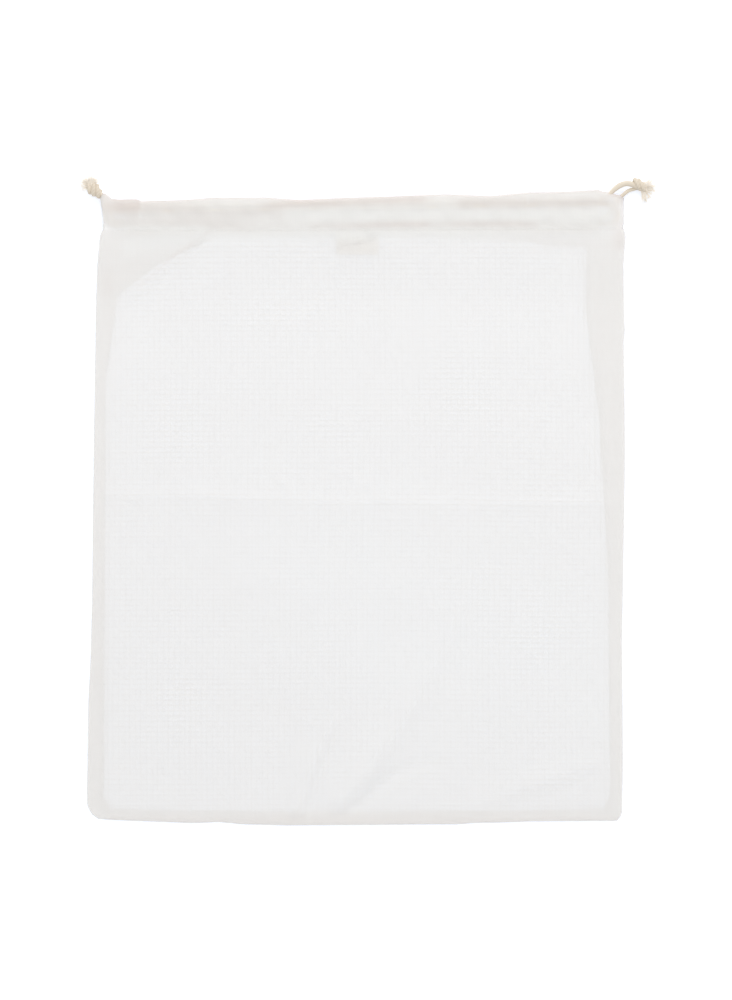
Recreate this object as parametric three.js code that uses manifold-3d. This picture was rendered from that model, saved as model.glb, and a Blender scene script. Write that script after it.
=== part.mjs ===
import * as THREE from 'three';
import { mergeVertices } from 'three/addons/utils/BufferGeometryUtils.js';
import Module from 'manifold-3d';

// A drawstring produce bag of thin white cotton, lying flat and empty on its net side.
// Millimetres, +Z up. +Y runs from the closed bottom to the mouth, and +X to the right.
// The origin is on the surface that it lies on, under the middle of the whole bag.
// The front is one plain cotton cloth. Its sides and bottom fold round onto the back as margins,
// and its top is folded down inside as the front half of the drawstring casing.
// The back is a net panel with a plain cotton heading, which holds the back half of the casing.

const wasm = await Module();
wasm.setup();

// Driving dimensions
const bagLeft = -152;
const bagRight = 147;
const clothThickness = 1;      // each layer of cloth
const clearance = 0.3;         // between neighbouring pieces
const cordDiameter = 2.4;      // pressed a little flat under the cloth
const bodyHeight = 2.6;        // top of the front cloth where it lies on the net
const easeLength = 45;         // from the casing's seam down to where the front lies flat
const bottomCornerRadius = 6;
const slotWidth = 15;          // the casing's open ends, where the cords turn
const marginBelowSeam = 2.2;   // from the casing's seam down to the front's margins on the back
const label = { left: -17.1, width: 24.5, below: 14.6, thickness: 1 };

// Heights of the casing: over its front cords, over its back cords, and at its seam.
const casingTop = { high: 7.8, low: 7.3, seam: 4.9 };
const casingUnder = { high: 2.3, low: 5.3, seam: 2.9 };
const headingTop = { high: 2, low: 5 };

// Lines across the casing where those heights change, up from its seam or down from the channel line.
const lowFrom = 1.9;
const lowTo = 8.2;
const highFrom = 7.3;

// The outline of the laid bag: a row for each bend or pucker in an edge.
const leftEdge = [
  { y: -185, x: -159.7 },
  { y: -160, x: -159.4 },
  { y: -115, x: -158.7 },
  { y: -92, x: -157.5 },
  { y: -58, x: -156.6 },
  { y: 0, x: -156.0 },
  { y: 57, x: -155.2 },
  { y: 114, x: -154.3 },
  { y: 134, x: -153.5 },
  { y: 150, x: -152.2 },
  { y: 157, x: -149.9 },
  { y: 164, x: -150.6 },
  { y: 173, x: -152.0 },
];
const rightEdge = [
  { y: -185, x: 145.4 },
  { y: -149, x: 146.0 },
  { y: -81, x: 145.9 },
  { y: -15, x: 146.8 },
  { y: 28, x: 147.4 },
  { y: 68, x: 147.1 },
  { y: 89, x: 146.6 },
  { y: 97, x: 147.1 },
  { y: 103, x: 146.6 },
  { y: 114, x: 147.0 },
  { y: 134, x: 146.6 },
  { y: 150, x: 147.4 },
  { y: 156, x: 146.5 },
  { y: 162, x: 147.3 },
  { y: 171, x: 146.9 },
];
const topEdge = [
  { x: -152.0, y: 172.8 },
  { x: -149.5, y: 175.1 },
  { x: -147.2, y: 173.3 },
  { x: -145.4, y: 171.4 },
  { x: -141.7, y: 170.7 },
  { x: -130.9, y: 171.4 },
  { x: -128.5, y: 169.8 },
  { x: -123.0, y: 170.4 },
  { x: -106.0, y: 170.4 },
  { x: -87.0, y: 172.0 },
  { x: -59.0, y: 172.0 },
  { x: -38.0, y: 171.1 },
  { x: -15.0, y: 172.0 },
  { x: 14.0, y: 172.6 },
  { x: 45.0, y: 173.7 },
  { x: 71.0, y: 172.9 },
  { x: 92.6, y: 174.3 },
  { x: 111.0, y: 174.6 },
  { x: 133.1, y: 175.8 },
  { x: 134.3, y: 174.6 },
  { x: 137.7, y: 174.7 },
  { x: 141.0, y: 173.5 },
  { x: 145.6, y: 173.0 },
  { x: 147.0, y: 171.6 },
];
const bottomEdge = [
  { x: -154, y: -183.1 },
  { x: -135, y: -183.5 },
  { x: -94, y: -184.6 },
  { x: -87, y: -184.0 },
  { x: -72, y: -185.1 },
  { x: -46, y: -186.3 },
  { x: 9, y: -186.3 },
  { x: 36, y: -185.6 },
  { x: 64, y: -185.1 },
  { x: 71, y: -184.0 },
  { x: 78, y: -184.6 },
  { x: 98, y: -184.0 },
  { x: 141, y: -183.4 },
];

// The net panel's edge on the back: down its left side, along the bottom and up its right side, then its top.
const netSides = [
  { x: -92, y: 147.4 },
  { x: -118, y: 134.5 },
  { x: -141.7, y: 116.6 },
  { x: -148.6, y: 67.4 },
  { x: -149.1, y: -57.7 },
  { x: -149.7, y: -169.0 },
  { x: -146.0, y: -177.0 },
  { x: -60.0, y: -178.5 },
  { x: 60.0, y: -178.5 },
  { x: 136.0, y: -177.0 },
  { x: 139.4, y: -170.0 },
  { x: 138.3, y: -40.6 },
  { x: 133.1, y: 46.9 },
  { x: 125.7, y: 106.3 },
  { x: 125.7, y: 144.5 },
];
const netTop = [
  { x: -92, y: 147.4 },
  { x: 60, y: 148.2 },
  { x: 125.7, y: 144.5 },
];

// Creases pressed or pushed up in the front cloth, each a soft ridge between two points.
const creases = [
  { name: 'corner crease', x0: -133, y0: 116, x1: -94, y1: 148, high: 1.5, half: 4.5 },
  { name: 'press crease, left', x0: -156, y0: 1.7, x1: 14, y1: -1.7, high: 1.0, half: 6 },
  { name: 'press crease, right', x0: 14, y0: -1.7, x1: 146, y1: -2.3, high: 1.0, half: 6 },
  { name: 'long ridge, low part', x0: -12, y0: -177, x1: 14, y1: -135, high: 1.8, half: 6 },
  { name: 'long ridge, high part', x0: 14, y0: -135, x1: 47, y1: -87, high: 1.2, half: 6 },
  { name: 'bottom fold', x0: 11, y0: -156, x1: 42, y1: -155, high: 1.2, half: 5 },
  { name: 'left fold', x0: -33, y0: -182, x1: -18, y1: -133, high: 1.2, half: 5 },
  { name: 'right fold', x0: 81, y0: -172, x1: 112, y1: -150, high: 1.0, half: 6 },
  { name: 'upper left pucker', x0: -20, y0: 19, x1: 11, y1: 0, high: 0.6, half: 5 },
  { name: 'upper right pucker', x0: 11, y0: 0, x1: 29, y1: 14, high: 0.6, half: 5 },
];

// The drawcords' routes. A row gives y, or its depth below the channel line, or its rise above the seam.
const leftCord = [
  { x: -151.15, y: 173.55, z: 5.1 },
  { x: -149.4, y: 169.6, z: 5.3 },
  { x: -146.8, depth: 3.9, z: 5.3 },
  { x: -143.0, depth: 5.2, z: 5.3 },
  { x: -136.0, depth: 5.3, z: 5.3 },
  { x: -100.0, depth: 5.3, z: 5.3 },
  { x: -40.0, depth: 5.3, z: 5.3 },
  { x: 30.0, depth: 5.3, z: 5.3 },
  { x: 90.0, depth: 5.3, z: 5.3 },
  { x: 128.0, depth: 5.3, z: 5.3 },
  { x: 135.0, depth: 5.4, z: 5.3 },
  { x: 139.5, depth: 6.4, z: 5.3 },
  { x: 142.6, depth: 8.6, z: 4.8 },
  { x: 143.8, depth: 11.6, z: 4.0 },
  { x: 142.6, rise: 5.4, z: 3.2 },
  { x: 139.5, rise: 3.4, z: 2.7 },
  { x: 135.0, rise: 3.0, z: 2.5 },
  { x: 120.0, rise: 3.0, z: 2.5 },
  { x: 70.0, rise: 3.0, z: 2.5 },
  { x: 0.0, rise: 3.0, z: 2.5 },
  { x: -70.0, rise: 3.0, z: 2.5 },
  { x: -130.0, rise: 3.0, z: 2.5 },
  { x: -140.0, rise: 3.0, z: 2.5 },
  { x: -145.0, rise: 3.6, z: 2.5 },
  { x: -148.0, rise: 6.2, z: 2.5 },
  { x: -148.8, rise: 10.5, z: 2.5 },
  { x: -149.3, y: 168.5, z: 2.5 },
  { x: -151.15, y: 173.45, z: 2.6 },
];
const rightCord = [
  { x: 152.2, y: 180.2, z: 4.2 },
  { x: 148.6, y: 180.4, z: 4.3 },
  { x: 145.0, y: 179.4, z: 4.6 },
  { x: 141.6, y: 177.2, z: 5.0 },
  { x: 138.8, y: 174.4, z: 5.3 },
  { x: 136.0, depth: 2.4, z: 5.3 },
  { x: 131.0, depth: 2.6, z: 5.3 },
  { x: 90.0, depth: 2.6, z: 5.3 },
  { x: 30.0, depth: 2.6, z: 5.3 },
  { x: -40.0, depth: 2.6, z: 5.3 },
  { x: -100.0, depth: 2.6, z: 5.3 },
  { x: -132.0, depth: 2.6, z: 5.3 },
  { x: -137.5, depth: 2.6, z: 5.1 },
  { x: -140.5, depth: 2.5, z: 3.9 },
  { x: -143.2, depth: 3.1, z: 2.7 },
  { x: -145.2, depth: 5.0, z: 2.5 },
  { x: -145.7, depth: 7.6, z: 2.5 },
  { x: -144.4, rise: 6.3, z: 2.5 },
  { x: -141.0, rise: 5.7, z: 2.5 },
  { x: -135.0, rise: 5.7, z: 2.5 },
  { x: -70.0, rise: 5.7, z: 2.5 },
  { x: 0.0, rise: 5.7, z: 2.5 },
  { x: 70.0, rise: 5.7, z: 2.5 },
  { x: 120.0, rise: 5.7, z: 2.5 },
  { x: 132.0, rise: 5.7, z: 2.5 },
  { x: 136.0, rise: 6.6, z: 2.5 },
  { x: 139.4, rise: 9.8, z: 2.5 },
  { x: 141.8, depth: 6.0, z: 2.5 },
  { x: 144.2, depth: 2.4, z: 2.6 },
  { x: 146.4, y: 174.6, z: 2.8 },
  { x: 149.2, y: 176.4, z: 2.6 },
  { x: 152.2, y: 177.3, z: 2.4 },
];

// Each knot's middle, half sizes, turn in degrees, places of its wraps, and the fan of its frayed strands.
const knots = [
  {
    name: 'knot_left',
    middle: [-154.8, 176.8, 3.8],
    half: [5.0, 3.6, 3.5],
    turn: 149,
    wraps: [-2.2, 0.2, 2.6],
    fan: { from: 84, to: 190, count: 12, length: 9.4 },
  },
  {
    name: 'knot_right',
    middle: [155.4, 178.9, 3.7],
    half: [3.3, 4.2, 3.4],
    turn: -14,
    wraps: [-1.1, 1.1],
    fan: { from: -62, to: 30, count: 12, length: 9.2 },
  },
];
const strandRadius = 0.42;

// Reads one column of a table at a place between its rows.
function lookUp(table, from, to, place) {
  const first = table[0];
  if (place <= first[from]) return first[to];
  for (let i = 1; i < table.length; i++) {
    const low = table[i - 1];
    const high = table[i];
    if (place > high[from]) continue;
    const share = (place - low[from]) / (high[from] - low[from]);
    return low[to] + share * (high[to] - low[to]);
  }
  return table[table.length - 1][to];
}

const topAt = x => lookUp(topEdge, 'x', 'y', x);
const bottomAt = x => lookUp(bottomEdge, 'x', 'y', x);

// How far a rounded bottom corner draws its side in, at a height above the bottom edge.
function cornerInset(above) {
  const short = bottomCornerRadius - Math.max(above, 0);
  if (short <= 0) return 0;
  return bottomCornerRadius - Math.sqrt(bottomCornerRadius ** 2 - short ** 2);
}

function sidesAt(y) {
  return {
    left: lookUp(leftEdge, 'y', 'x', y) + cornerInset(y - bottomAt(bagLeft)),
    right: lookUp(rightEdge, 'y', 'x', y) - cornerInset(y - bottomAt(bagRight)),
  };
}

// The straight line under the top edge that the channels follow, and the casing's seam.
// Each rises a little from the left end of the casing to the right.
const casingLeft = -145;
const channelLine = x => 169.2 + 0.0157 * (x - casingLeft);
const seamLine = x => 153.0 + 0.004 * (x - casingLeft);

// A face of the casing: level over the cords, and straight in between.
function casingHeight(x, y, heights) {
  const lines = [
    { y: seamLine(x), z: heights.seam },
    { y: seamLine(x) + lowFrom, z: heights.low },
    { y: seamLine(x) + lowTo, z: heights.low },
    { y: channelLine(x) - highFrom, z: heights.high },
  ];
  return lookUp(lines, 'y', 'z', y);
}

// The sum of the creases' soft ridges, each with round ends.
function creaseHeight(x, y) {
  let height = 0;
  for (const c of creases) {
    const length = Math.hypot(c.x1 - c.x0, c.y1 - c.y0);
    const along = ((x - c.x0) * (c.x1 - c.x0) + (y - c.y0) * (c.y1 - c.y0)) / length;
    const across = ((x - c.x0) * (c.y1 - c.y0) - (y - c.y0) * (c.x1 - c.x0)) / length;
    const past = Math.max(-along, along - length, 0);
    height += c.high * Math.exp(-((across / c.half) ** 2) - (past / c.half) ** 2);
  }
  return height;
}

// The front cloth's upper face comes down from the casing's seam and lies on the net, with its creases.
function frontTop(x, y) {
  const below = seamLine(x) - y;
  if (below <= 0) return casingHeight(x, y, casingTop);
  const sides = sidesAt(y);
  const fromEdge = Math.min(x - sides.left, sides.right - x, y - bottomAt(x), below);
  const raised = 1 - THREE.MathUtils.smoothstep(below, 0, easeLength);
  const eased = bodyHeight + (casingTop.seam - bodyHeight) * raised;
  return eased + creaseHeight(x, y) * THREE.MathUtils.smoothstep(fromEdge, 1, 9);
}

// Its lower face is one layer down, or as low as the hem that is turned down inside the casing.
function frontUnder(x, y) {
  if (y >= seamLine(x) - 0.01) return casingHeight(x, y, casingUnder);
  return frontTop(x, y) - clothThickness;
}

// Rows of points across the front. The upper rows follow the casing, and the lower ones are levels in Y,
// closer together at the press crease and the bottom.
const columnCount = 34;
const outerRows = [
  x => topAt(x),
  x => topAt(x) - 1.6,
  x => channelLine(x) - 4,
  x => channelLine(x) - highFrom,
  x => seamLine(x) + lowTo,
  x => seamLine(x) + lowFrom,
  x => seamLine(x),
  x => seamLine(x) - 4,
];
const hollowRows = [
  x => topAt(x) + 4,
  x => channelLine(x) - highFrom,
  x => seamLine(x) + lowTo,
  x => seamLine(x) + lowFrom,
  x => seamLine(x),
  x => seamLine(x) - 0.1,
  x => seamLine(x) - 4,
];
const closeLevels = [8, 3, -1.5, -6, -11, -163, -172, -179];
const lowerLevels = [...closeLevels];
for (let y = 141; y > -160; y -= 11) {
  if (closeLevels.every(level => Math.abs(level - y) > 4)) lowerLevels.push(y);
}
lowerLevels.sort((a, b) => b - a);

// A point of that grid, drawn in from the bag's outline by an inset.
function gridPoint(upperRows, column, row, inset) {
  const share = column / columnCount;
  const nominalX = THREE.MathUtils.lerp(bagLeft, bagRight, share);
  let y = bottomAt(nominalX) + inset;
  if (row < upperRows.length) {
    y = upperRows[row](nominalX) - (row === 0 ? inset : 0);
  } else if (row < upperRows.length + lowerLevels.length) {
    y = lowerLevels[row - upperRows.length];
  }
  const sides = sidesAt(y);
  return { x: THREE.MathUtils.lerp(sides.left + inset, sides.right - inset, share), y };
}

function toSolid(geometry) {
  geometry.deleteAttribute('normal');
  geometry.deleteAttribute('uv');
  const merged = mergeVertices(geometry, 1e-4);
  const vertProperties = new Float32Array(merged.attributes.position.array);
  const triVerts = new Uint32Array(merged.index.array);
  const solid = new wasm.Manifold(new wasm.Mesh({ numProp: 3, vertProperties, triVerts }));
  if (solid.volume() > 0) return solid;
  const turned = triVerts.map((_, i) => triVerts[i - (i % 3) + (2 - (i % 3))]);
  return new wasm.Manifold(new wasm.Mesh({ numProp: 3, vertProperties, triVerts: turned }));
}

function facesToSolid(points, faces) {
  const geometry = new THREE.BufferGeometry();
  geometry.setAttribute('position', new THREE.BufferAttribute(new Float32Array(points.flat()), 3));
  geometry.setIndex(faces.flat());
  return toSolid(geometry);
}

function toGeometry(solid) {
  const mesh = solid.getMesh();
  const geometry = new THREE.BufferGeometry();
  geometry.setAttribute('position', new THREE.BufferAttribute(new Float32Array(mesh.vertProperties), 3));
  geometry.setIndex(new THREE.BufferAttribute(new Uint32Array(mesh.triVerts), 1));
  geometry.computeVertexNormals();
  return geometry;
}

// A closed solid between the grid, at a height for each point, and a flat floor.
// Each rim is a ring round its edge, at an inset and at a share of the height over the floor.
function gridSolid({ upperRows, insetAt, heightAt, floor, rims }) {
  const rowCount = upperRows.length + lowerLevels.length;
  const wide = columnCount + 1;
  const points = [];
  const faces = [];
  const place = (column, row, rim) => {
    const spot = gridPoint(upperRows, column, row, insetAt(row) + rim.inset);
    return [spot.x, spot.y, floor + rim.rise * (heightAt(spot.x, spot.y) - floor)];
  };
  for (let row = 0; row <= rowCount; row++) {
    for (let column = 0; column <= columnCount; column++) {
      points.push(place(column, row, rims[0]));
    }
  }
  for (let row = 0; row < rowCount; row++) {
    for (let column = 0; column < columnCount; column++) {
      const a = row * wide + column;
      faces.push([a, a + wide, a + 1], [a + 1, a + wide, a + wide + 1]);
    }
  }
  const loop = [];
  for (let column = 0; column < columnCount; column++) loop.push([column, 0]);
  for (let row = 0; row < rowCount; row++) loop.push([columnCount, row]);
  for (let column = columnCount; column > 0; column--) loop.push([column, rowCount]);
  for (let row = rowCount; row > 0; row--) loop.push([0, row]);
  let ring = loop.map(([column, row]) => row * wide + column);
  for (const rim of rims.slice(1)) {
    const next = loop.map((_, i) => points.length + i);
    points.push(...loop.map(([column, row]) => place(column, row, rim)));
    for (let i = 0; i < loop.length; i++) {
      const j = (i + 1) % loop.length;
      faces.push([ring[i], ring[j], next[j]], [ring[i], next[j], next[i]]);
    }
    ring = next;
  }
  const contour = ring.map(i => new THREE.Vector2(points[i][0], points[i][1]));
  for (const [a, b, c] of THREE.ShapeUtils.triangulateShape(contour, [])) {
    faces.push([ring[a], ring[c], ring[b]]);
  }
  return facesToSolid(points, faces);
}

// A closed solid swept along X: at each station the section gives the same number of [y, z] points.
function sweptSolid(stations, sectionAt) {
  const sections = stations.map(sectionAt);
  const size = sections[0].length;
  const points = sections.flatMap((section, s) => section.map(([y, z]) => [stations[s], y, z]));
  const faces = [];
  for (let s = 0; s < stations.length - 1; s++) {
    const a = s * size;
    const b = a + size;
    for (let i = 0; i < size; i++) {
      const j = (i + 1) % size;
      faces.push([a + i, b + j, a + j], [a + i, b + i, b + j]);
    }
  }
  const last = stations.length - 1;
  for (const s of [0, last]) {
    const contour = sections[s].map(([y, z]) => new THREE.Vector2(y, z));
    const index = i => s * size + i;
    for (const [a, b, c] of THREE.ShapeUtils.triangulateShape(contour, [])) {
      faces.push(s === 0 ? [index(a), index(b), index(c)] : [index(a), index(c), index(b)]);
    }
  }
  return facesToSolid(points, faces);
}

function slabSolid(outline, low, high) {
  const shape = new THREE.Shape(outline.map(p => new THREE.Vector2(p.x, p.y)));
  const geometry = new THREE.ExtrudeGeometry(shape, { depth: high - low, bevelEnabled: false, steps: 1 });
  geometry.translate(0, 0, low);
  return toSolid(geometry);
}

// Moves each corner of an outline outwards, along the bisector of its two sides.
function grown(outline, distance) {
  const outward = Math.sign(THREE.ShapeUtils.area(outline)) * distance;
  return outline.map((p, i) => {
    const before = outline[(i + outline.length - 1) % outline.length];
    const after = outline[(i + 1) % outline.length];
    const one = new THREE.Vector2(p.y - before.y, before.x - p.x).normalize();
    const two = new THREE.Vector2(after.y - p.y, p.x - after.x).normalize();
    const middle = one.clone().add(two).normalize();
    const reach = outward / middle.dot(one);
    return { x: p.x + middle.x * reach, y: p.y + middle.y * reach };
  });
}

// Cutters run this far past the cloth.
const beyond = 12;
const wholeWidth = [bagLeft - beyond, bagRight + beyond];

// A channel for two cords side by side, as [y, z] points, with its corners cut.
function channelSection(nearY, farY, low, high) {
  const cut = 0.75;
  return [
    [nearY, low + cut],
    [nearY + cut, low],
    [farY - cut, low],
    [farY, low + cut],
    [farY, high - cut],
    [farY - cut, high],
    [nearY + cut, high],
    [nearY, high - cut],
  ];
}

function frontChannel() {
  const low = casingUnder.high + clothThickness;
  const high = casingTop.high - clothThickness;
  return sweptSolid(wholeWidth, x => channelSection(channelLine(x) - 6.8, channelLine(x) - 1.1, low, high));
}

function backChannel() {
  const high = headingTop.low - clothThickness;
  return sweptSolid(wholeWidth, x => channelSection(seamLine(x) + 1.5, seamLine(x) + 7.2, clothThickness, high));
}

// The casing's open ends, where the cords turn or come out: only its outer layers are left there.
const slots = [
  [bagLeft - beyond, bagLeft + slotWidth],
  [bagRight - slotWidth, bagRight + beyond],
];
const slotFrom = 1.2;          // from the seam up to where the open ends start

function frontSlot(ends) {
  return sweptSolid(ends, x => [
    [seamLine(x) + slotFrom, -1],
    [channelLine(x) + beyond, -1],
    [channelLine(x) + beyond, casingTop.high - clothThickness],
    [channelLine(x) - highFrom - 0.7, casingTop.high - clothThickness],
    [channelLine(x) - highFrom - 1.7, casingTop.low - clothThickness],
    [seamLine(x) + lowFrom + 0.7, casingTop.low - clothThickness],
    [seamLine(x) + slotFrom, casingTop.seam - clothThickness],
  ]);
}

function backSlot(ends) {
  return sweptSolid(ends, x => [
    [seamLine(x) + slotFrom, clothThickness],
    [channelLine(x) + beyond, clothThickness],
    [channelLine(x) + beyond, casingTop.high],
    [seamLine(x) + slotFrom, casingTop.high],
  ]);
}

const netEdge = [...netSides, netTop[1]];
const heading = { left: netTop[0].x, right: netTop[2].x };

// What the front's margins leave open in the back: the net, the heading and the mouth.
function backOpening() {
  const low = -1;
  const high = clothThickness + clearance;
  const marginTop = x => seamLine(x) - marginBelowSeam;
  const strip = x => [
    [lookUp(netTop, 'x', 'y', x) - 1, low],
    [marginTop(x) + 1, low],
    [marginTop(x) + 1, high],
    [lookUp(netTop, 'x', 'y', x) - 1, high],
  ];
  const mouth = x => [
    [marginTop(x), low],
    [channelLine(x) + beyond, low],
    [channelLine(x) + beyond, high],
    [marginTop(x), high],
  ];
  return slabSolid(grown(netEdge, clearance), low, high)
    .add(sweptSolid([heading.left - clearance, heading.right + clearance], strip))
    .add(sweptSolid(wholeWidth, mouth));
}

function makeFront() {
  const outer = gridSolid({
    upperRows: outerRows,
    insetAt: () => 0,
    heightAt: frontTop,
    floor: 0,
    rims: [
      { inset: 1, rise: 1 },
      { inset: 0, rise: 0.68 },
      { inset: 0, rise: 0.32 },
      { inset: 1, rise: 0 },
    ],
  });
  const mouthRows = hollowRows.length - 1;
  const hollow = gridSolid({
    upperRows: hollowRows,
    insetAt: row => (row < mouthRows ? -6 : clothThickness),
    heightAt: frontUnder,
    floor: clothThickness,
    rims: [
      { inset: 0, rise: 1 },
      { inset: 0, rise: 0 },
    ],
  });
  let cloth = outer.subtract(hollow).subtract(backOpening()).subtract(frontChannel());
  for (const ends of slots) {
    cloth = cloth.subtract(frontSlot(ends));
  }
  return cloth;
}

// The plain heading of the back. Its top is folded down inside, over the back cords, to its own seam.
function makeHeading() {
  const section = x => {
    const top = Math.min(topAt(x), channelLine(x) + 1) - 0.8;
    const seam = seamLine(x);
    const overNet = x > heading.left && x < heading.right;
    const end = (overNet ? lookUp(netTop, 'x', 'y', x) : seam - marginBelowSeam) + clearance;
    return [
      [top - 0.6, 0],
      [top, 0.6],
      [top, 1.4],
      [top - 0.6, headingTop.high],
      [channelLine(x) - highFrom - clearance, headingTop.high],
      [seam + lowTo - clearance, headingTop.low],
      [seam + lowFrom + 0.15, headingTop.low],
      [seam - 0.3, headingTop.high],
      [seam - 1.6, clothThickness],
      [end, clothThickness],
      [end, 0],
    ];
  };
  const step = 0.3;
  const stations = [heading.left, heading.left + step, netTop[1].x, heading.right - step, heading.right];
  for (let x = -149.2; x < 147; x += 16.4) {
    stations.push(x);
  }
  let cloth = sweptSolid(stations.sort((a, b) => a - b), section).subtract(backChannel());
  for (const ends of slots) {
    cloth = cloth.subtract(backSlot(ends));
  }
  return cloth;
}

function makeNet() {
  return slabSolid(netEdge, 0, clothThickness);
}

// The folded tape label, sewn into the casing's seam and hanging inside under the front.
function makeLabel() {
  const steps = 4;
  const from = seamLine(label.left) - 0.4;
  const to = seamLine(label.left) - label.below;
  const levels = [];
  for (let i = 0; i <= steps; i++) {
    levels.push(THREE.MathUtils.lerp(from, to, i / steps));
  }
  const right = label.left + label.width;
  const topFace = y => Math.min(frontUnder(label.left, y), frontUnder(right, y)) - clearance - 0.05;
  const upper = levels.map(y => [y, topFace(y)]);
  const lower = levels.map(y => [y, topFace(y) - label.thickness]).reverse();
  return sweptSolid([label.left, right], () => [...upper, ...lower]);
}

function regularShape(radius, sides) {
  const corners = [];
  for (let i = 0; i < sides; i++) {
    const angle = (2 * Math.PI * (i + 0.5)) / sides;
    corners.push(new THREE.Vector2(radius * Math.cos(angle), radius * Math.sin(angle)));
  }
  return new THREE.Shape(corners);
}

// A tube whose steps lie evenly between the route's own points, so that its turns get more of them.
function makeTube(places, radius, sides) {
  const route = new THREE.CatmullRomCurve3(places, false, 'centripetal');
  route.getUtoTmapping = u => u;
  const steps = 2 * (places.length - 1);
  const shape = regularShape(radius, sides);
  return toSolid(new THREE.ExtrudeGeometry(shape, { steps, extrudePath: route, bevelEnabled: false }));
}

function makeCord(route) {
  const places = route.map(({ x, y, z, depth, rise }) => {
    if (depth !== undefined) return new THREE.Vector3(x, channelLine(x) - depth, z);
    if (rise !== undefined) return new THREE.Vector3(x, seamLine(x) + rise, z);
    return new THREE.Vector3(x, y, z);
  });
  return makeTube(places, cordDiameter / 2, 8);
}

// A tight overhand knot: a core with turns of cord standing proud of it, and its frayed ends fanned out.
function makeKnot({ middle, half, turn, wraps, fan }) {
  const [length, width, height] = half;
  const core = new THREE.SphereGeometry(1, 10, 7);
  core.scale(length * 0.92, width * 0.82, height * 0.82);
  let knot = toSolid(core);
  for (const [i, along] of wraps.entries()) {
    const round = 0.78 * Math.sqrt(1 - (along / length) ** 2);
    const wrap = new THREE.TorusGeometry(1, 0.3, 5, 12);
    wrap.rotateY(Math.PI / 2);
    wrap.scale(3.2, width * round, height * round);
    wrap.rotateZ(i % 2 ? -0.35 : 0.3);
    wrap.translate(along, 0, 0);
    knot = knot.add(toSolid(wrap));
  }
  const seat = new THREE.Matrix4().makeRotationZ(THREE.MathUtils.degToRad(turn));
  seat.setPosition(...middle);
  knot = knot.transform(seat.elements);
  const [x, y, z] = middle;
  for (let i = 0; i < fan.count; i++) {
    const angle = THREE.MathUtils.degToRad(THREE.MathUtils.lerp(fan.from, fan.to, i / (fan.count - 1)));
    const reach = fan.length * (0.86 + 0.14 * Math.cos(5 * i));
    const rise = 1.4 * Math.sin(4 * i);
    const bend = 0.2 * Math.sin(3 * i);
    const places = [0.25, 0.6, 1].map(f => {
      const out = reach * f;
      const toward = angle + bend * f;
      return new THREE.Vector3(
        x + out * Math.cos(toward),
        y + out * Math.sin(toward),
        z + rise * f - 1.2 * f * f,
      );
    });
    knot = knot.add(makeTube(places, strandRadius, 3));
  }
  return knot;
}

const plainCotton = { color: 0xf1efec, roughness: 0.95, metalness: 0 };
const cottonNet = { color: 0xf4f3f0, roughness: 0.95, metalness: 0 };
const cottonCord = { color: 0xdcc9a8, roughness: 0.9, metalness: 0 };
const cottonTape = { color: 0xece9e4, roughness: 0.85, metalness: 0 };

const pieces = [
  { name: 'front_panel', solid: makeFront(), finish: plainCotton },
  { name: 'back_heading', solid: makeHeading(), finish: plainCotton },
  { name: 'back_net', solid: makeNet(), finish: cottonNet },
  { name: 'label', solid: makeLabel(), finish: cottonTape },
  { name: 'drawcord_left', solid: makeCord(leftCord), finish: cottonCord },
  { name: 'drawcord_right', solid: makeCord(rightCord), finish: cottonCord },
  ...knots.map(knot => ({ name: knot.name, solid: makeKnot(knot), finish: cottonCord })),
];

const group = new THREE.Group();
for (const { name, solid, finish } of pieces) {
  const mesh = new THREE.Mesh(toGeometry(solid), new THREE.MeshStandardMaterial(finish));
  mesh.name = name;
  group.add(mesh);
}

export default group;
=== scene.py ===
# %% [markdown]
# # A cotton produce bag, lying flat
#
# This lesson builds a thin white drawstring bag in Blender. The bag lies empty on a table, seen from
# straight above. Its front is one sheer cotton cloth. Its back is a cotton net with a plain heading.
# Two cords run through the casing at the mouth, and each ends in a knot with frayed strands.
#
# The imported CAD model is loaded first, as a fixed frame. Each soft solid in it is then replaced by
# cloth, net or cord that is worked out with numpy, in the same place and at the same size.

import bmesh
import bpy
import numpy as np
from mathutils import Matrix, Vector


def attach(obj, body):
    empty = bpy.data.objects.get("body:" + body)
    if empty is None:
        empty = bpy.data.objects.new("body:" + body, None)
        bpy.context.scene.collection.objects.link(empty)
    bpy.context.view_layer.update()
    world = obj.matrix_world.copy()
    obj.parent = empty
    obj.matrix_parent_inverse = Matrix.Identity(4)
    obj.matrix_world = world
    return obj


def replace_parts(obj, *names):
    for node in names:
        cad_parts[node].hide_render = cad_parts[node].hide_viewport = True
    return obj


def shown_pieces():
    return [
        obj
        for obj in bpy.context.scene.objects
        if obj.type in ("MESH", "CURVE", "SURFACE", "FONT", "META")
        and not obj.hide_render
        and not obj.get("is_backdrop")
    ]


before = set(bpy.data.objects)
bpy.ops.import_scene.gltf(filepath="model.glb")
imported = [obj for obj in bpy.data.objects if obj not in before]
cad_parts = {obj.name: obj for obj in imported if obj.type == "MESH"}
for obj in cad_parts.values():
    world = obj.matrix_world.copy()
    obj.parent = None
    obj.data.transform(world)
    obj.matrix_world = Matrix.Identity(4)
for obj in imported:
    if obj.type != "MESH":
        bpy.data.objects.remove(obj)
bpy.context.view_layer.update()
print("CAD nodes:", ", ".join(sorted(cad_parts)))

# %% [markdown]
# ## Sizes and places
#
# All the shapes below are worked out in millimetres, because that is how a sewn bag is measured, and
# one function turns them to metres when it makes the mesh. X runs to the right of the photograph, Y
# towards the mouth of the bag, and Z up. Each row of an edge's table is a bend or a pucker in that
# edge, and a straight line joins it to the next.

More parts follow.
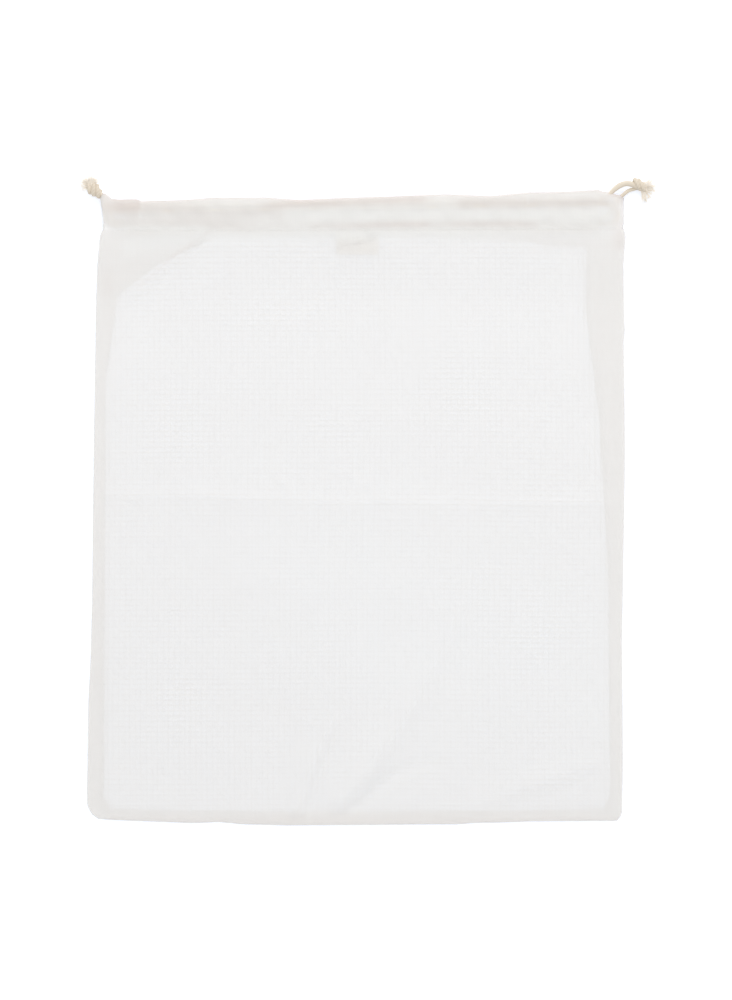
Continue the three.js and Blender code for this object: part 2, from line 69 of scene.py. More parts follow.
# %% Outline of the laid bag
MM = 0.001
LEFT_EDGE = np.array([  # y, x
    (-185, -159.7), (-160, -159.4), (-115, -158.7), (-92, -157.5), (-58, -156.6),
    (0, -156.0), (57, -155.2), (114, -154.3), (134, -153.5), (150, -152.2),
    (157, -149.9), (164, -150.6), (173, -152.0),
])
RIGHT_EDGE = np.array([  # y, x
    (-185, 146.3), (-149, 147.0), (-81, 146.4), (-15, 147.6), (28, 148.2),
    (68, 147.8), (89, 147.4), (97, 148.1), (103, 147.7), (114, 147.6),
    (134, 147.3), (150, 148.4), (156, 147.2), (162, 147.4), (171, 147.0),
])
TOP_EDGE = np.array([  # x, y
    (-152.0, 172.8), (-149.5, 175.1), (-147.2, 173.3), (-145.4, 171.4), (-141.7, 170.9),
    (-130.9, 171.2), (-128.5, 169.8), (-123.0, 170.2), (-106.0, 170.6), (-87.0, 172.0),
    (-59.0, 172.2), (-38.0, 170.7), (-15.0, 171.8), (14.0, 172.7), (45.0, 174.0),
    (71.0, 172.9), (92.6, 175.0), (111.0, 175.3), (133.1, 176.5), (134.3, 175.4),
    (137.7, 175.2), (141.0, 174.0), (145.6, 173.2), (147.0, 171.6),
])
BOTTOM_EDGE = np.array([  # x, y
    (-154, -182.7), (-146, -183.4), (-135, -184.0), (-103, -185.2), (-94, -185.0), (-87, -184.6),
    (-72, -185.9), (-46, -186.6), (9, -186.3), (36, -186.0), (56, -186.0), (68, -185.1),
    (78, -185.0), (98, -184.3), (122, -184.1), (141, -184.0),
])
BAG_LEFT, BAG_RIGHT = -152.0, 147.0  # x of the mouth's two corners
LEFT_CORNER, RIGHT_CORNER = 11.0, 6.0  # radii of the bottom corners
LINES_START = -145.0  # x from which the casing's two lines are counted
CHANNEL_Y, CHANNEL_SLOPE = 169.2, 0.0157
SEAM_Y, SEAM_SLOPE = 153.0, 0.004


def read(table, place):
    """A table's second column at places along its first, straight between its rows."""
    return np.interp(place, table[:, 0], table[:, 1])


def corner_inset(above, radius):
    """How far a rounded bottom corner draws its side in: radius - sqrt(radius^2 - short^2)."""
    short = np.clip(radius - np.maximum(above, 0), 0, radius)
    return radius - np.sqrt(radius**2 - short**2)


def left_at(y):
    """The bag's left edge at a height up the bag."""
    return read(LEFT_EDGE, y) + corner_inset(y - read(BOTTOM_EDGE, BAG_LEFT), LEFT_CORNER)


def right_at(y):
    """The bag's right edge at a height up the bag."""
    return read(RIGHT_EDGE, y) - corner_inset(y - read(BOTTOM_EDGE, BAG_RIGHT), RIGHT_CORNER)


def channel_line(x):
    """The line under the top edge that the drawstring channel follows."""
    return CHANNEL_Y + CHANNEL_SLOPE * (x - LINES_START)


def seam_line(x):
    """The row of stitches that closes the casing."""
    return SEAM_Y + SEAM_SLOPE * (x - LINES_START)


print("The bag is", round(float(right_at(0) - left_at(0)), 1), "mm wide at its middle")

# %% [markdown]
# ## Turning arrays into pieces
#
# Blender can build a mesh from whole arrays, which is fast and keeps each shape a short formula. A
# grid of points needs only its rows and columns: four neighbours make a face. A cord is such a grid
# too, rolled into a tube round its line, with its two ends closed.

# %% Mesh helpers
def grid_faces(rows, columns, roll=False):
    """The quads of a grid whose points run row by row. With roll, its last column joins its first."""
    row, column = np.meshgrid(np.arange(rows - 1), np.arange(columns - (not roll)), indexing="ij")
    beside = (column + 1) % columns
    corners = row * columns + column, row * columns + beside
    return np.stack([corners[0], corners[1], corners[1] + columns, corners[0] + columns], -1).reshape(-1, 4)


def cap_faces(count, rows):
    """Two fans that close a tube's ends, as polygons of its first and last rings."""
    first = np.arange(count)
    return [first[::-1].tolist(), (first + (rows - 1) * count).tolist()]


def make_piece(name, points, faces, material, values):
    """A mesh object from points in millimetres, faces as arrays or lists, and named point values."""
    lists = [f.tolist() if isinstance(f, np.ndarray) else f for f in faces]
    mesh = bpy.data.meshes.new(name)
    mesh.from_pydata((points.reshape(-1, 3) * MM).tolist(), [], sum(lists, []))
    mesh.polygons.foreach_set("use_smooth", np.ones(len(mesh.polygons), bool))
    for key, numbers in values.items():
        layer = mesh.attributes.new(key, "FLOAT", "POINT")
        layer.data.foreach_set("value", np.ascontiguousarray(numbers, np.float32).ravel())
    mesh.materials.append(material)
    mesh.validate()
    piece = bpy.data.objects.new(name, mesh)
    bpy.context.scene.collection.objects.link(piece)
    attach(piece, "root")
    print(f"{name}: {len(mesh.vertices)} points, {len(mesh.polygons)} faces")
    return piece


def weld(piece, distance=0.01):
    """Joins points that lie within a distance in millimetres, such as those that two grids share."""
    shape = bmesh.new()
    shape.from_mesh(piece.data)
    bmesh.ops.remove_doubles(shape, verts=shape.verts, dist=distance * MM)
    shape.to_mesh(piece.data)
    shape.free()


def thicken(piece, thickness):
    """Gives a cloth its thickness in millimetres, inwards from the outer face."""
    wall = piece.modifiers.new("cloth thickness", "SOLIDIFY")
    wall.thickness = thickness * MM
    wall.offset = -1


# %% Smooth lines
def smooth_line(points, per_span):
    """A Catmull-Rom curve through points, each span cut into per_span steps.

    Between b and c it is ((2b) + (c-a)t + (2a-5b+4c-d)t^2 + (3b-a-3c+d)t^3) / 2.
    The points may be an array of curves, with the curve's own points along the first axis.
    """
    points = np.asarray(points, float)
    ends = [2 * points[:1] - points[1:2], points, 2 * points[-1:] - points[-2:-1]]
    a, b, c, d = (np.concatenate(ends)[i : i + len(points) - 1, None] for i in range(4))
    t = np.linspace(0, 1, per_span, endpoint=False).reshape((1, per_span) + (1,) * (points.ndim - 1))
    line = (2 * b + (c - a) * t + (2 * a - 5 * b + 4 * c - d) * t**2 + (3 * b - a - 3 * c + d) * t**3) / 2
    return np.concatenate([line.reshape((-1,) + points.shape[1:]), points[-1:]])


def evenly_spaced(line, step):
    """The same line with points a given distance apart."""
    along = np.concatenate([[0], np.cumsum(np.linalg.norm(np.diff(line, axis=0), axis=1))])
    places = np.linspace(0, along[-1], max(int(along[-1] / step), 4))
    return np.stack([np.interp(places, along, line[:, i]) for i in range(3)], 1), places


def unit(vectors):
    """Vectors scaled to a length of one."""
    return vectors / np.maximum(np.linalg.norm(vectors, axis=-1, keepdims=True), 1e-9)


def tube_points(line, radius, around, reference=(0, 0, 1)):
    """A ring of points round each point of a line.

    Each is line + radius * (side cos a + up sin a), where side is at right angles to both the line
    and the reference direction. radius may be one number, or an array for each ring and angle.
    """
    ahead = unit(np.gradient(line, axis=0))
    side = unit(np.cross(np.asarray(reference, float), ahead))
    up = np.cross(ahead, side)
    angle = np.linspace(0, 2 * np.pi, around, endpoint=False)[None, :, None]
    ring = side[:, None] * np.cos(angle) + up[:, None] * np.sin(angle)
    return line[:, None] + np.broadcast_to(radius, ring.shape[:2])[..., None] * ring


# %% [markdown]
# ## Camera, light and floor
#
# The photograph is a flat lay on pure white, taken from straight above with a long lens, so nothing
# in it leans or tapers. The camera stands three metres up. A photographer would light such a picture
# with a big soft source and a bright room, and let the ground burn out to white. Here the light
# comes a little from the mouth's side, so that creases show a light and a dark slope. The paper also
# glows faintly, which stands for the light that it sends up through the net's holes.

# %% Camera
PHOTO_MM_PER_PIXEL = 0.5714
PHOTO_ROWS = 1000  # the photograph's height in pixels
PHOTO_MIDDLE = -0.6 * MM  # y that the camera looks down on
CAMERA_HEIGHT = 3.0  # in metres
SENSOR_MM = 36.0

camera_data = bpy.data.cameras.new("camera")
camera_data.sensor_fit = "VERTICAL"
camera_data.sensor_height = SENSOR_MM
camera_data.lens = SENSOR_MM * CAMERA_HEIGHT / (PHOTO_ROWS * PHOTO_MM_PER_PIXEL * MM)
camera = bpy.data.objects.new("camera", camera_data)
camera.location = (0, PHOTO_MIDDLE, CAMERA_HEIGHT)
bpy.context.scene.collection.objects.link(camera)
bpy.context.scene.camera = camera
bpy.context.scene.view_settings.view_transform = "Standard"
print("Lens:", round(camera_data.lens, 1), "mm")

# %% Node helper and colours
def add_node(tree, kind, settings=None, links=None):
    """Adds a node. settings sets its properties and sockets, and links feeds its sockets.

    A property has its name as key, and a socket its name or, as in a Math node, its number.
    """
    node = tree.nodes.new(kind)
    for key, value in (settings or {}).items():
        if isinstance(key, str) and key not in node.inputs:
            setattr(node, key, value)
        else:
            node.inputs[key].default_value = value
    for key, socket in (links or {}).items():
        tree.links.new(socket, node.inputs[key])
    return node


def linear(hex_colour):
    """An sRGB hex colour as linear red, green, blue and alpha."""
    share = np.array([int(hex_colour[i : i + 2], 16) for i in (1, 3, 5)]) / 255
    light = np.where(share <= 0.04045, share / 12.92, ((share + 0.055) / 1.055) ** 2.4)
    return (*light.tolist(), 1.0)


def new_material(name):
    """An empty material with a Principled shader, and its node tree."""
    material = bpy.data.materials.new(name)
    material.use_nodes = True
    tree = material.node_tree
    return material, tree, tree.nodes["Principled BSDF"]


# %% Floor and lights
floor_material, tree, shader = new_material("matt white paper")
shader.inputs["Base Color"].default_value = linear("#fdfdfd")
shader.inputs["Roughness"].default_value = 0.9
shader.inputs["Emission Color"].default_value = linear("#d4e6ff")
shader.inputs["Emission Strength"].default_value = 0.34

FLOOR_HALF = 6.0  # half its width, in metres
FLOOR_HEIGHT = -0.1 * MM
floor_mesh = bpy.data.meshes.new("floor")
corners = [(-1, -1), (1, -1), (1, 1), (-1, 1)]
floor_points = [(x * FLOOR_HALF, y * FLOOR_HALF, FLOOR_HEIGHT) for x, y in corners]
floor_mesh.from_pydata(floor_points, [], [(0, 1, 2, 3)])
floor_mesh.materials.append(floor_material)
floor = bpy.data.objects.new("floor", floor_mesh)
bpy.context.scene.collection.objects.link(floor)
floor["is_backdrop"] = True

world = bpy.data.worlds.new("bright room")
world.use_nodes = True
background = world.node_tree.nodes["Background"]
background.inputs["Color"].default_value = linear("#fdfdff")
background.inputs["Strength"].default_value = 0.866
bpy.context.scene.world = world

soft_box_data = bpy.data.lights.new("soft box", "AREA")
soft_box_data.shape = "SQUARE"
soft_box_data.size = 1.0
soft_box_data.energy = 11.5
soft_box = bpy.data.objects.new("soft box", soft_box_data)
soft_box.location = Vector((0.2, 1.3, 1.3))
soft_box.rotation_euler = soft_box.location.to_track_quat("Z", "Y").to_euler()
bpy.context.scene.collection.objects.link(soft_box)
print("Floor, room and one soft box")

# %% [markdown]
# ## The drawcords
#
# Each cord is soft cotton yarn, three strands laid round each other to make about 2.5 mm. It goes in
# at one corner, along the front half of the casing, round the other corner and back along the back
# half, so pulling it gathers the whole mouth. Nearly all of it lies in the casing, where the cloth
# holds it, so it isn't a free cord: only 5 to 20 mm comes out, to the knot. A cord like this could
# be a curve with a round bevel, but the strands would be missing. So a ring is carried along the
# route, and its radius has three lobes that turn as it goes.

# %% Cord routes
def straight(places, line, y, z):
    """Route rows for a stretch that keeps its distance from a line and its height."""
    return [(x, line, y, z) for x in places]


LEFT_CORD = [  # x, the line that y is measured from, y from it, z
    (-153.2, "origin", 175.7, 4.2), (-150.9, "origin", 173.6, 4.3), (-148.3, "origin", 169.9, 4.5),
    (-145.6, "channel", -4.3, 4.9), (-142.0, "channel", -5.2, 5.2),
    *straight((-136.0, -100.0, -40.0, 30.0, 90.0, 128.0), "channel", -5.3, 5.3),
    (135.0, "channel", -5.4, 5.3), (139.5, "channel", -6.4, 5.3), (142.6, "channel", -8.6, 4.8),
    (143.8, "channel", -11.6, 4.0), (142.6, "seam", 5.4, 3.2), (139.5, "seam", 3.4, 2.7),
    *straight((135.0, 120.0, 70.0, 0.0, -70.0, -130.0, -140.0), "seam", 3.0, 2.5),
    (-145.0, "seam", 3.6, 2.5), (-148.0, "seam", 6.2, 2.5), (-148.8, "seam", 10.5, 2.5),
    (-149.3, "origin", 168.5, 2.5), (-151.15, "origin", 173.45, 2.6), (-153.2, "origin", 175.6, 3.2),
]
RIGHT_CORD = [
    (155.2, "origin", 178.3, 4.0), (152.6, "origin", 179.3, 4.2), (148.8, "origin", 180.0, 4.3),
    (145.2, "origin", 179.0, 4.6), (142.0, "origin", 176.8, 5.0), (139.4, "origin", 174.3, 5.2),
    (136.0, "channel", -2.4, 5.3),
    *straight((131.0, 90.0, 30.0, -40.0, -100.0, -132.0), "channel", -2.6, 5.3),
    (-137.5, "channel", -2.6, 5.1), (-140.5, "channel", -2.5, 3.9), (-143.2, "channel", -3.1, 2.7),
    (-145.2, "channel", -5.0, 2.5), (-145.7, "channel", -7.6, 2.5), (-144.4, "seam", 6.3, 2.5),
    *straight((-141.0, -135.0, -70.0, 0.0, 70.0, 120.0, 132.0), "seam", 5.7, 2.5),
    (136.0, "seam", 6.6, 2.5), (139.4, "seam", 9.8, 2.5),
    (141.8, "channel", -6.0, 2.5), (144.2, "channel", -2.4, 2.6),
    (146.8, "origin", 173.6, 2.8), (149.6, "origin", 175.8, 2.6), (152.4, "origin", 176.8, 2.6),
    (154.8, "origin", 177.4, 3.0),
]
CORD_RADIUS = 1.25
STRAND_PITCH = 6.0  # a strand goes once round the cord in this length, in mm
UPPER_RUN = 3.4  # where a cord lies higher than this it is in the front half of the casing
SWELL_LENGTH = 5.0  # a free end reaches its own thickness over this length
ROUTE_STEPS = 12  # steps of the smooth line between two rows of a route


def cord_line(rows):
    """The route's points in millimetres, each y counted from the line that its row names."""
    place = {"origin": lambda x: 0.0, "channel": channel_line, "seam": seam_line}
    return np.array([(x, place[line](x) + y, z) for x, line, y, z in rows])


def laid_cord(line, along, radius, around, pitch, reference=(0, 0, 1)):
    """Points, crest values and faces of three strands laid together, as a tube with closed ends.

    Its radius is 0.94 + 0.06 |cos(1.5 (angle - turn))| of the whole, and turn grows along the line.
    """
    angle = np.linspace(0, 2 * np.pi, around, endpoint=False)
    turn = 2 * np.pi * np.asarray(along) / pitch
    crest = np.abs(np.cos(1.5 * (angle - turn[:, None])))
    rings = np.asarray(radius).reshape(-1, 1) * (0.94 + 0.06 * crest)
    faces = [grid_faces(len(line), around, roll=True), cap_faces(around, len(line))]
    return tube_points(line, rings, around, reference).reshape(-1, 3), crest.ravel(), faces


# %% [markdown]
# ### Cotton cord, as a material
#
# The cord is unbleached cotton yarn, cream and quite matt. Its colour is darker and browner in the
# grooves between its strands: painted shade, where light is lost. The crest value that comes with each
# point of the mesh says how high on a strand it is, so the painted shade follows the twist. Real fibres
# are too fine to show in the render, so they are drawn as a roughness 0.25 mm across.

# %% Cotton cord
FIBRE_MM, FIBRE_DEPTH_MM = 0.25, 0.08
MOTTLE_MM, MOTTLE_SHARE = 3.5, 0.6


def finish(tree, shader, value, colours, bump, roughness, sheen):
    """Gives a surface its bump, roughness and sheen, and colours that a ramp takes from a value."""
    ramp = add_node(tree, "ShaderNodeValToRGB", links={"Fac": value})
    stops = ramp.color_ramp.elements
    stops[0].color, stops[1].color = map(linear, colours)
    tree.links.new(ramp.outputs["Color"], shader.inputs["Base Color"])
    tree.links.new(bump.outputs["Normal"], shader.inputs["Normal"])
    shader.inputs["Roughness"].default_value = roughness
    shader.inputs["Sheen Weight"].default_value = sheen
    return stops


def cord_material(name, crest_colour, groove_shade_colour):
    """Matt cotton yarn whose colour runs from painted shade in its grooves to its crests, with fibres as a
    fine bump.
    """
    material, tree, shader = new_material(name)
    crest = add_node(tree, "ShaderNodeAttribute", {"attribute_name": "crest"})
    place = add_node(tree, "ShaderNodeTexCoord").outputs["Object"]
    fibre = add_node(tree, "ShaderNodeTexNoise", {"Scale": 1 / (FIBRE_MM * MM), "Detail": 3.0},
                     {"Vector": place})
    mottle = add_node(tree, "ShaderNodeTexNoise", {"Scale": 1 / (MOTTLE_MM * MM)}, {"Vector": place})
    both = add_node(tree, "ShaderNodeMath", {"operation": "MULTIPLY_ADD", 1: MOTTLE_SHARE},
                    {0: mottle.outputs["Fac"], 2: crest.outputs["Fac"]})
    bump = add_node(tree, "ShaderNodeBump", {"Strength": 0.5, "Distance": FIBRE_DEPTH_MM * MM},
                    {"Height": fibre.outputs["Fac"]})
    colours = groove_shade_colour, crest_colour
    stops = finish(tree, shader, both.outputs["Value"], colours, bump, roughness=0.9, sheen=0.2)
    stops[0].position = 0.35
    return material


# its groove colour is painted shade between the strands
cotton_cord = cord_material("laid cotton cord", "#dcd1bf", "#c3b59f")

# %% Cords
AROUND = 18
CORD_STEP = 0.6  # between two rings, in mm
CORD_CREST = 0.55, 0.45  # the crest value in a groove, and how much more it is on a crest


def end_radius(line, where, extra, drawn_thin):
    """The cord's radius: past a place in X its upper part swells, and its lower part is drawn thin."""
    free = np.clip((line[:, 0] * np.sign(where) - abs(where)) / SWELL_LENGTH, 0, 1)
    return CORD_RADIUS + free * np.where(line[:, 2] > UPPER_RUN, extra, -drawn_thin)


def make_cord(name, rows, node, where, extra, drawn_thin):
    """A laid cord along a route, and a print of its length."""
    line, along = evenly_spaced(smooth_line(cord_line(rows), ROUTE_STEPS), CORD_STEP)
    radius = end_radius(line, where, extra, drawn_thin)
    points, crest, faces = laid_cord(line, along, radius, AROUND, STRAND_PITCH)
    values = {"crest": CORD_CREST[0] + CORD_CREST[1] * crest}
    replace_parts(make_piece(name, points, faces, cotton_cord, values), node)
    print(f"{name} is {along[-1]:.0f} mm long, and its cloth holds all but its ends")


make_cord("cord_left", LEFT_CORD, "drawcord_left", where=-148, extra=0.1, drawn_thin=0.0)
make_cord("cord_right", RIGHT_CORD, "drawcord_right", where=139, extra=0.4, drawn_thin=0.16)

# %% [markdown]
# ### Knots and frayed ends
#
# Each pair of cord ends is tied in one overhand knot, so that it can't slip back into the casing,
# and is cut just past it. The turns of a tight knot are two strands side by side that lean across
# the cord and tuck in under each other. Past it the yarn has opened into a brush of fine strands.
# A knot could be traced turn by turn, but only the outer turns show, so two leaning helices are
# carried round a core of the same cord.

# %% Knots
# turn is the cord's direction in degrees, turns how often the strands go round, step how far they
# move along it, side half the space between them, reach how far out they go across and up, lean how
# far a turn slants along the cord, and core half the core's length.
KNOTS = {
    "knot_left": dict(middle=(-155.1, 176.6, 3.9), turn=151, turns=1.4, step=4.6, side=1.2,
                      reach=(2.7, 2.1), lean=-1.2, core=4.4),
    "knot_right": dict(middle=(156.0, 179.3, 3.7), turn=-12, turns=0.8, step=0.6, side=1.05,
                       reach=(2.4, 2.1), lean=-1.8, core=2.4),
}
WRAP_RADIUS, CORE_RADIUS = 1.25, 1.15
WRAP_AROUND, CORE_AROUND = 14, 12
CORE_SIDE, CORE_RISE = 0.85, 0.3
KNOT_PITCH, KNOT_STEP = 5.0, 0.45
KNOT_CREST = 0.3, 0.5  # as CORD_CREST: a knot's grooves get more painted shade


def knot_axes(turn):
    """The knot's own directions: along its cord, across it on the table, and up."""
    angle = np.radians(turn)
    along = np.array([np.cos(angle), np.sin(angle), 0])
    return along, np.array([-along[1], along[0], 0]), np.array([0, 0, 1.0])


def turn_line(knot, shift):
    """One strand's turns round the core: a helix that leans, and sinks in at both ends.

    It is middle + along (shift + step (t - 0.5) + lean cos a) + sink (across wide cos a + up high sin a).
    """
    along, across, up = knot_axes(knot["turn"])
    t = np.linspace(0, 1, 90)[:, None]
    angle = 2 * np.pi * knot["turns"] * t - 0.6
    sink = 0.45 + 0.55 * np.clip(np.sin(np.pi * t) * 2.6, 0, 1)
    wide, high = knot["reach"]
    return (
        np.array(knot["middle"])
        + along * (shift + knot["step"] * (t - 0.5) + knot["lean"] * np.cos(angle))
        + across * wide * sink * np.cos(angle)
        + up * high * sink * np.sin(angle)
    )


def join(parts):
    """Several parts as one: their points and values in a row, and their faces counted on."""
    offsets = np.cumsum([0] + [len(points) for points, _, _ in parts])
    faces = [
        [[int(i) + offset for i in face] for face in group]
        for (_, _, groups), offset in zip(parts, offsets.tolist())
        for group in groups
    ]
    return np.concatenate([p for p, _, _ in parts]), np.concatenate([v for _, v, _ in parts]), faces


def make_knot(name, knot):
    """Two leaning strands round a core of two more."""
    along, across, up = knot_axes(knot["turn"])
    middle = np.array(knot["middle"])
    parts = []
    for shift in (-knot["side"], knot["side"]):
        line = evenly_spaced(turn_line(knot, shift), KNOT_STEP)
        parts.append(laid_cord(*line, WRAP_RADIUS, WRAP_AROUND, KNOT_PITCH, along))
    t = np.linspace(-1, 1, 12)[:, None]
    for side in (-1, 1):
        rise = up * CORE_RISE * side * np.cos(2 * t)
        core = middle + along * knot["core"] * t + across * side * CORE_SIDE + rise
        line = evenly_spaced(core, KNOT_STEP)
        parts.append(laid_cord(*line, CORE_RADIUS, CORE_AROUND, KNOT_PITCH))
    points, crest, faces = join(parts)
    values = {"crest": KNOT_CREST[0] + KNOT_CREST[1] * crest}
    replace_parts(make_piece(name + "_turns", points, faces, cotton_cord, values), name)


# %% Frayed ends
def many_tubes(lines, radius, around):
    """Tubes along many lines of equally many points: an array of lines by points by X, Y and Z."""
    count, steps = lines.shape[:2]
    ahead = unit(np.gradient(lines, axis=1))
    side = unit(np.cross((0.0, 0.0, 1.0), ahead))
    up = np.cross(ahead, side)
    angle = np.linspace(0, 2 * np.pi, around, endpoint=False) + np.pi / around
    ring = side[:, :, None] * np.cos(angle)[:, None] + up[:, :, None] * np.sin(angle)[:, None]
    points = lines[:, :, None] + np.broadcast_to(radius, (count, steps))[..., None, None] * ring
    start = (np.arange(count) * steps * around)[:, None]
    walls = (grid_faces(steps, around, roll=True)[None] + start[..., None]).reshape(-1, 4)
    first = start + np.arange(around)[::-1]
    last = start + (steps - 1) * around + np.arange(around)
    return points.reshape(-1, 3), [walls, first, last]


yarn_ends = cord_material("opened cotton yarn", "#fcf5e9", "#f1e7d6")
STRAND_SIDES, STRAND_POINTS = 6, 9
TUFT_SPREAD, ROOT_SPREAD = 5, 0.6  # degrees and mm by which one strand strays from its tuft
BEND_MM, CURL_MM = 0.5, 0.3
REACH_SHARE, THICK_SHARE = (0.72, 1.0), (0.6, 1.0)  # of the tuft's length and thickest radius
RISE = (-18, 12)  # degrees
LOWEST_STRAND = 0.35  # a strand that would sink into the table lies on it
BRUSHES = {  # root, and tufts as direction in degrees, length, strands, thickest radius
    "knot_left": dict(root=(-156.8, 178.8, 4.6), seed=3, tufts=[
        (38, 5.2, 12, 0.21), (62, 5.2, 16, 0.21), (84, 5.4, 20, 0.21), (104, 5.8, 22, 0.21),
        (124, 6.2, 20, 0.21), (144, 6.6, 18, 0.21), (162, 7.0, 14, 0.21), (178, 7.0, 12, 0.21),
        (196, 6.6, 10, 0.21), (156, 10.4, 5, 0.19), (84, 10.0, 4, 0.19), (97, 9.0, 4, 0.19),
        (44, 7.8, 6, 0.2), (24, 6.8, 6, 0.2), (208, 7.6, 4, 0.2),
    ]),
    "knot_right": dict(root=(157.4, 177.9, 3.6), seed=8, tufts=[
        (-84, 9.2, 18, 0.21), (-70, 9.6, 22, 0.21), (-54, 8.6, 16, 0.21), (-37, 7.6, 12, 0.21),
        (-22, 8.6, 20, 0.21), (-6, 8.4, 18, 0.21), (9, 9.0, 20, 0.21), (27, 7.2, 10, 0.21),
        (39, 8.8, 14, 0.21), (64, 6.8, 5, 0.19), (12, 10.4, 5, 0.19), (-28, 10.0, 4, 0.19),
        (-60, 10.4, 4, 0.19),
    ]),
}


def make_frayed_end(name, brush):
    """A brush of fine strands, tuft by tuft: each runs out, bends aside, curls and thins to a point."""
    random = np.random.default_rng(brush["seed"])
    tufts = [np.tile((way, length, thick), (n, 1)) for way, length, n, thick in brush["tufts"]]
    rows = np.concatenate(tufts)
    count = len(rows)
    angle = np.radians(rows[:, 0] + random.normal(0, TUFT_SPREAD, count))
    reach = rows[:, 1] * random.uniform(*REACH_SHARE, count)
    rise = np.radians(random.uniform(*RISE, count))
    out = np.stack([np.cos(angle) * np.cos(rise), np.sin(angle) * np.cos(rise), np.sin(rise)], 1)
    aside = np.stack([-np.sin(angle), np.cos(angle), 0 * angle], 1)
    t = np.linspace(0, 1, STRAND_POINTS)[None, :, None]
    root = np.array(brush["root"]) + random.normal(0, ROOT_SPREAD, (count, 3))
    bend = random.normal(0, BEND_MM, (count, 1, 1))
    curl = random.normal(0, CURL_MM, (count, 1, 1))
    curl = curl * np.sin(2 * np.pi * t + random.uniform(0, 6, (count, 1, 1)))
    lines = root[:, None] + out[:, None] * reach[:, None, None] * t
    lines = lines + aside[:, None] * (bend * t**2 + curl * t)
    lines[..., 2] = np.maximum(lines[..., 2], LOWEST_STRAND)
    radius = rows[:, 2:] * random.uniform(*THICK_SHARE, (count, 1)) * (1 - 0.5 * t[..., 0])
    points, faces = many_tubes(lines, radius, STRAND_SIDES)
    crest = np.repeat(random.uniform(0.3, 1.0, count), lines.shape[1] * STRAND_SIDES)
    make_piece(name + "_frayed_end", points, faces, yarn_ends, {"crest": crest})


for name, knot in KNOTS.items():
    make_knot(name, knot)
    make_frayed_end(name, BRUSHES[name])

# %% [markdown]
# ## The sheer cotton cloth
#
# The front is cotton voile, a thin plain weave of fine yarn. It has been folded for sale, so it holds
# a press crease across its middle, and soft creases where it was laid down. The cloth is so thin that
# the net shows through it. In Blender it could be white with a net painted on, but then it would be
# wrong from the side. It is made as in life: one sheer sheet over real threads. Its shader is a
# plain Principled one with some of its alpha taken away, and a weave as bump. The real yarns are
# about 0.4 mm apart, too fine to show in the render, so the weave is drawn twice as coarse.

# %% Cotton voile
SLUBS = ((25, 900, 400), (900, 25, 400))  # per metre: a slub is 40 mm long and 1.1 mm thick
SLUB_SHARE = 0.045
BAND_SCALE = 2 * np.pi / 20  # the scale at which a wave texture's bands are one unit wide
WEAVE_DEPTH_MM = 0.05


def both_ways(tree, pair):
    """The sum of one pattern along X and the same along Y."""
    links = {n: way.outputs["Fac"] for n, way in enumerate(pair)}
    return add_node(tree, "ShaderNodeMath", {"operation": "ADD"}, links)


def woven(tree, place, pitch_mm):
    """A plain weave as bump: two sets of ribs that cross, at the yarn's pitch."""
    settings = {"Scale": BAND_SCALE / (pitch_mm * MM), "Distortion": 1.5, "Detail": 1.0}
    ribs = [
        add_node(tree, "ShaderNodeTexWave", {"bands_direction": way, **settings}, {"Vector": place})
        for way in "XY"
    ]
    height = both_ways(tree, ribs).outputs["Value"]
    return add_node(tree, "ShaderNodeBump", {"Strength": 0.25, "Distance": WEAVE_DEPTH_MM * MM},
                    {"Height": height})


def cloth_material(name, light, dark, alpha, pitch_mm):
    """Matt cotton cloth: slubs in its yarn run both ways, and an attribute named shade holds painted shade
    and light and the cords that show through.
    """
    material, tree, shader = new_material(name)
    place = add_node(tree, "ShaderNodeTexCoord").outputs["Object"]
    slubs = []
    for scale in SLUBS:
        stretched = add_node(tree, "ShaderNodeMapping", {"Scale": scale}, {"Vector": place})
        slubs.append(add_node(tree, "ShaderNodeTexNoise", {"Scale": 1.0, "Detail": 2.0},
                              {"Vector": stretched.outputs["Vector"]}))
    total = both_ways(tree, slubs)
    shade = add_node(tree, "ShaderNodeAttribute", {"attribute_name": "shade"})
    mixed = add_node(tree, "ShaderNodeMath", {"operation": "MULTIPLY_ADD", 1: SLUB_SHARE},
                     {0: total.outputs["Value"], 2: shade.outputs["Fac"]})
    bump = woven(tree, place, pitch_mm)
    finish(tree, shader, mixed.outputs["Value"], (light, dark), bump, roughness=0.95, sheen=0.1)
    shader.inputs["Alpha"].default_value = alpha
    return material


voile = cloth_material("cotton voile", "#fefefb", "#d6c0b5", alpha=0.58, pitch_mm=0.8)

# %% [markdown]
# ## The front cloth's surface
#
# The front lies on the net at about 2.6 mm and rises to the casing's seam. Each crease is a soft
# ridge or a valley between two points, and their sum is added to that height. A crease is steeper on
# one side, as a fold that has been pushed over is, so its ridge is narrower on that side.

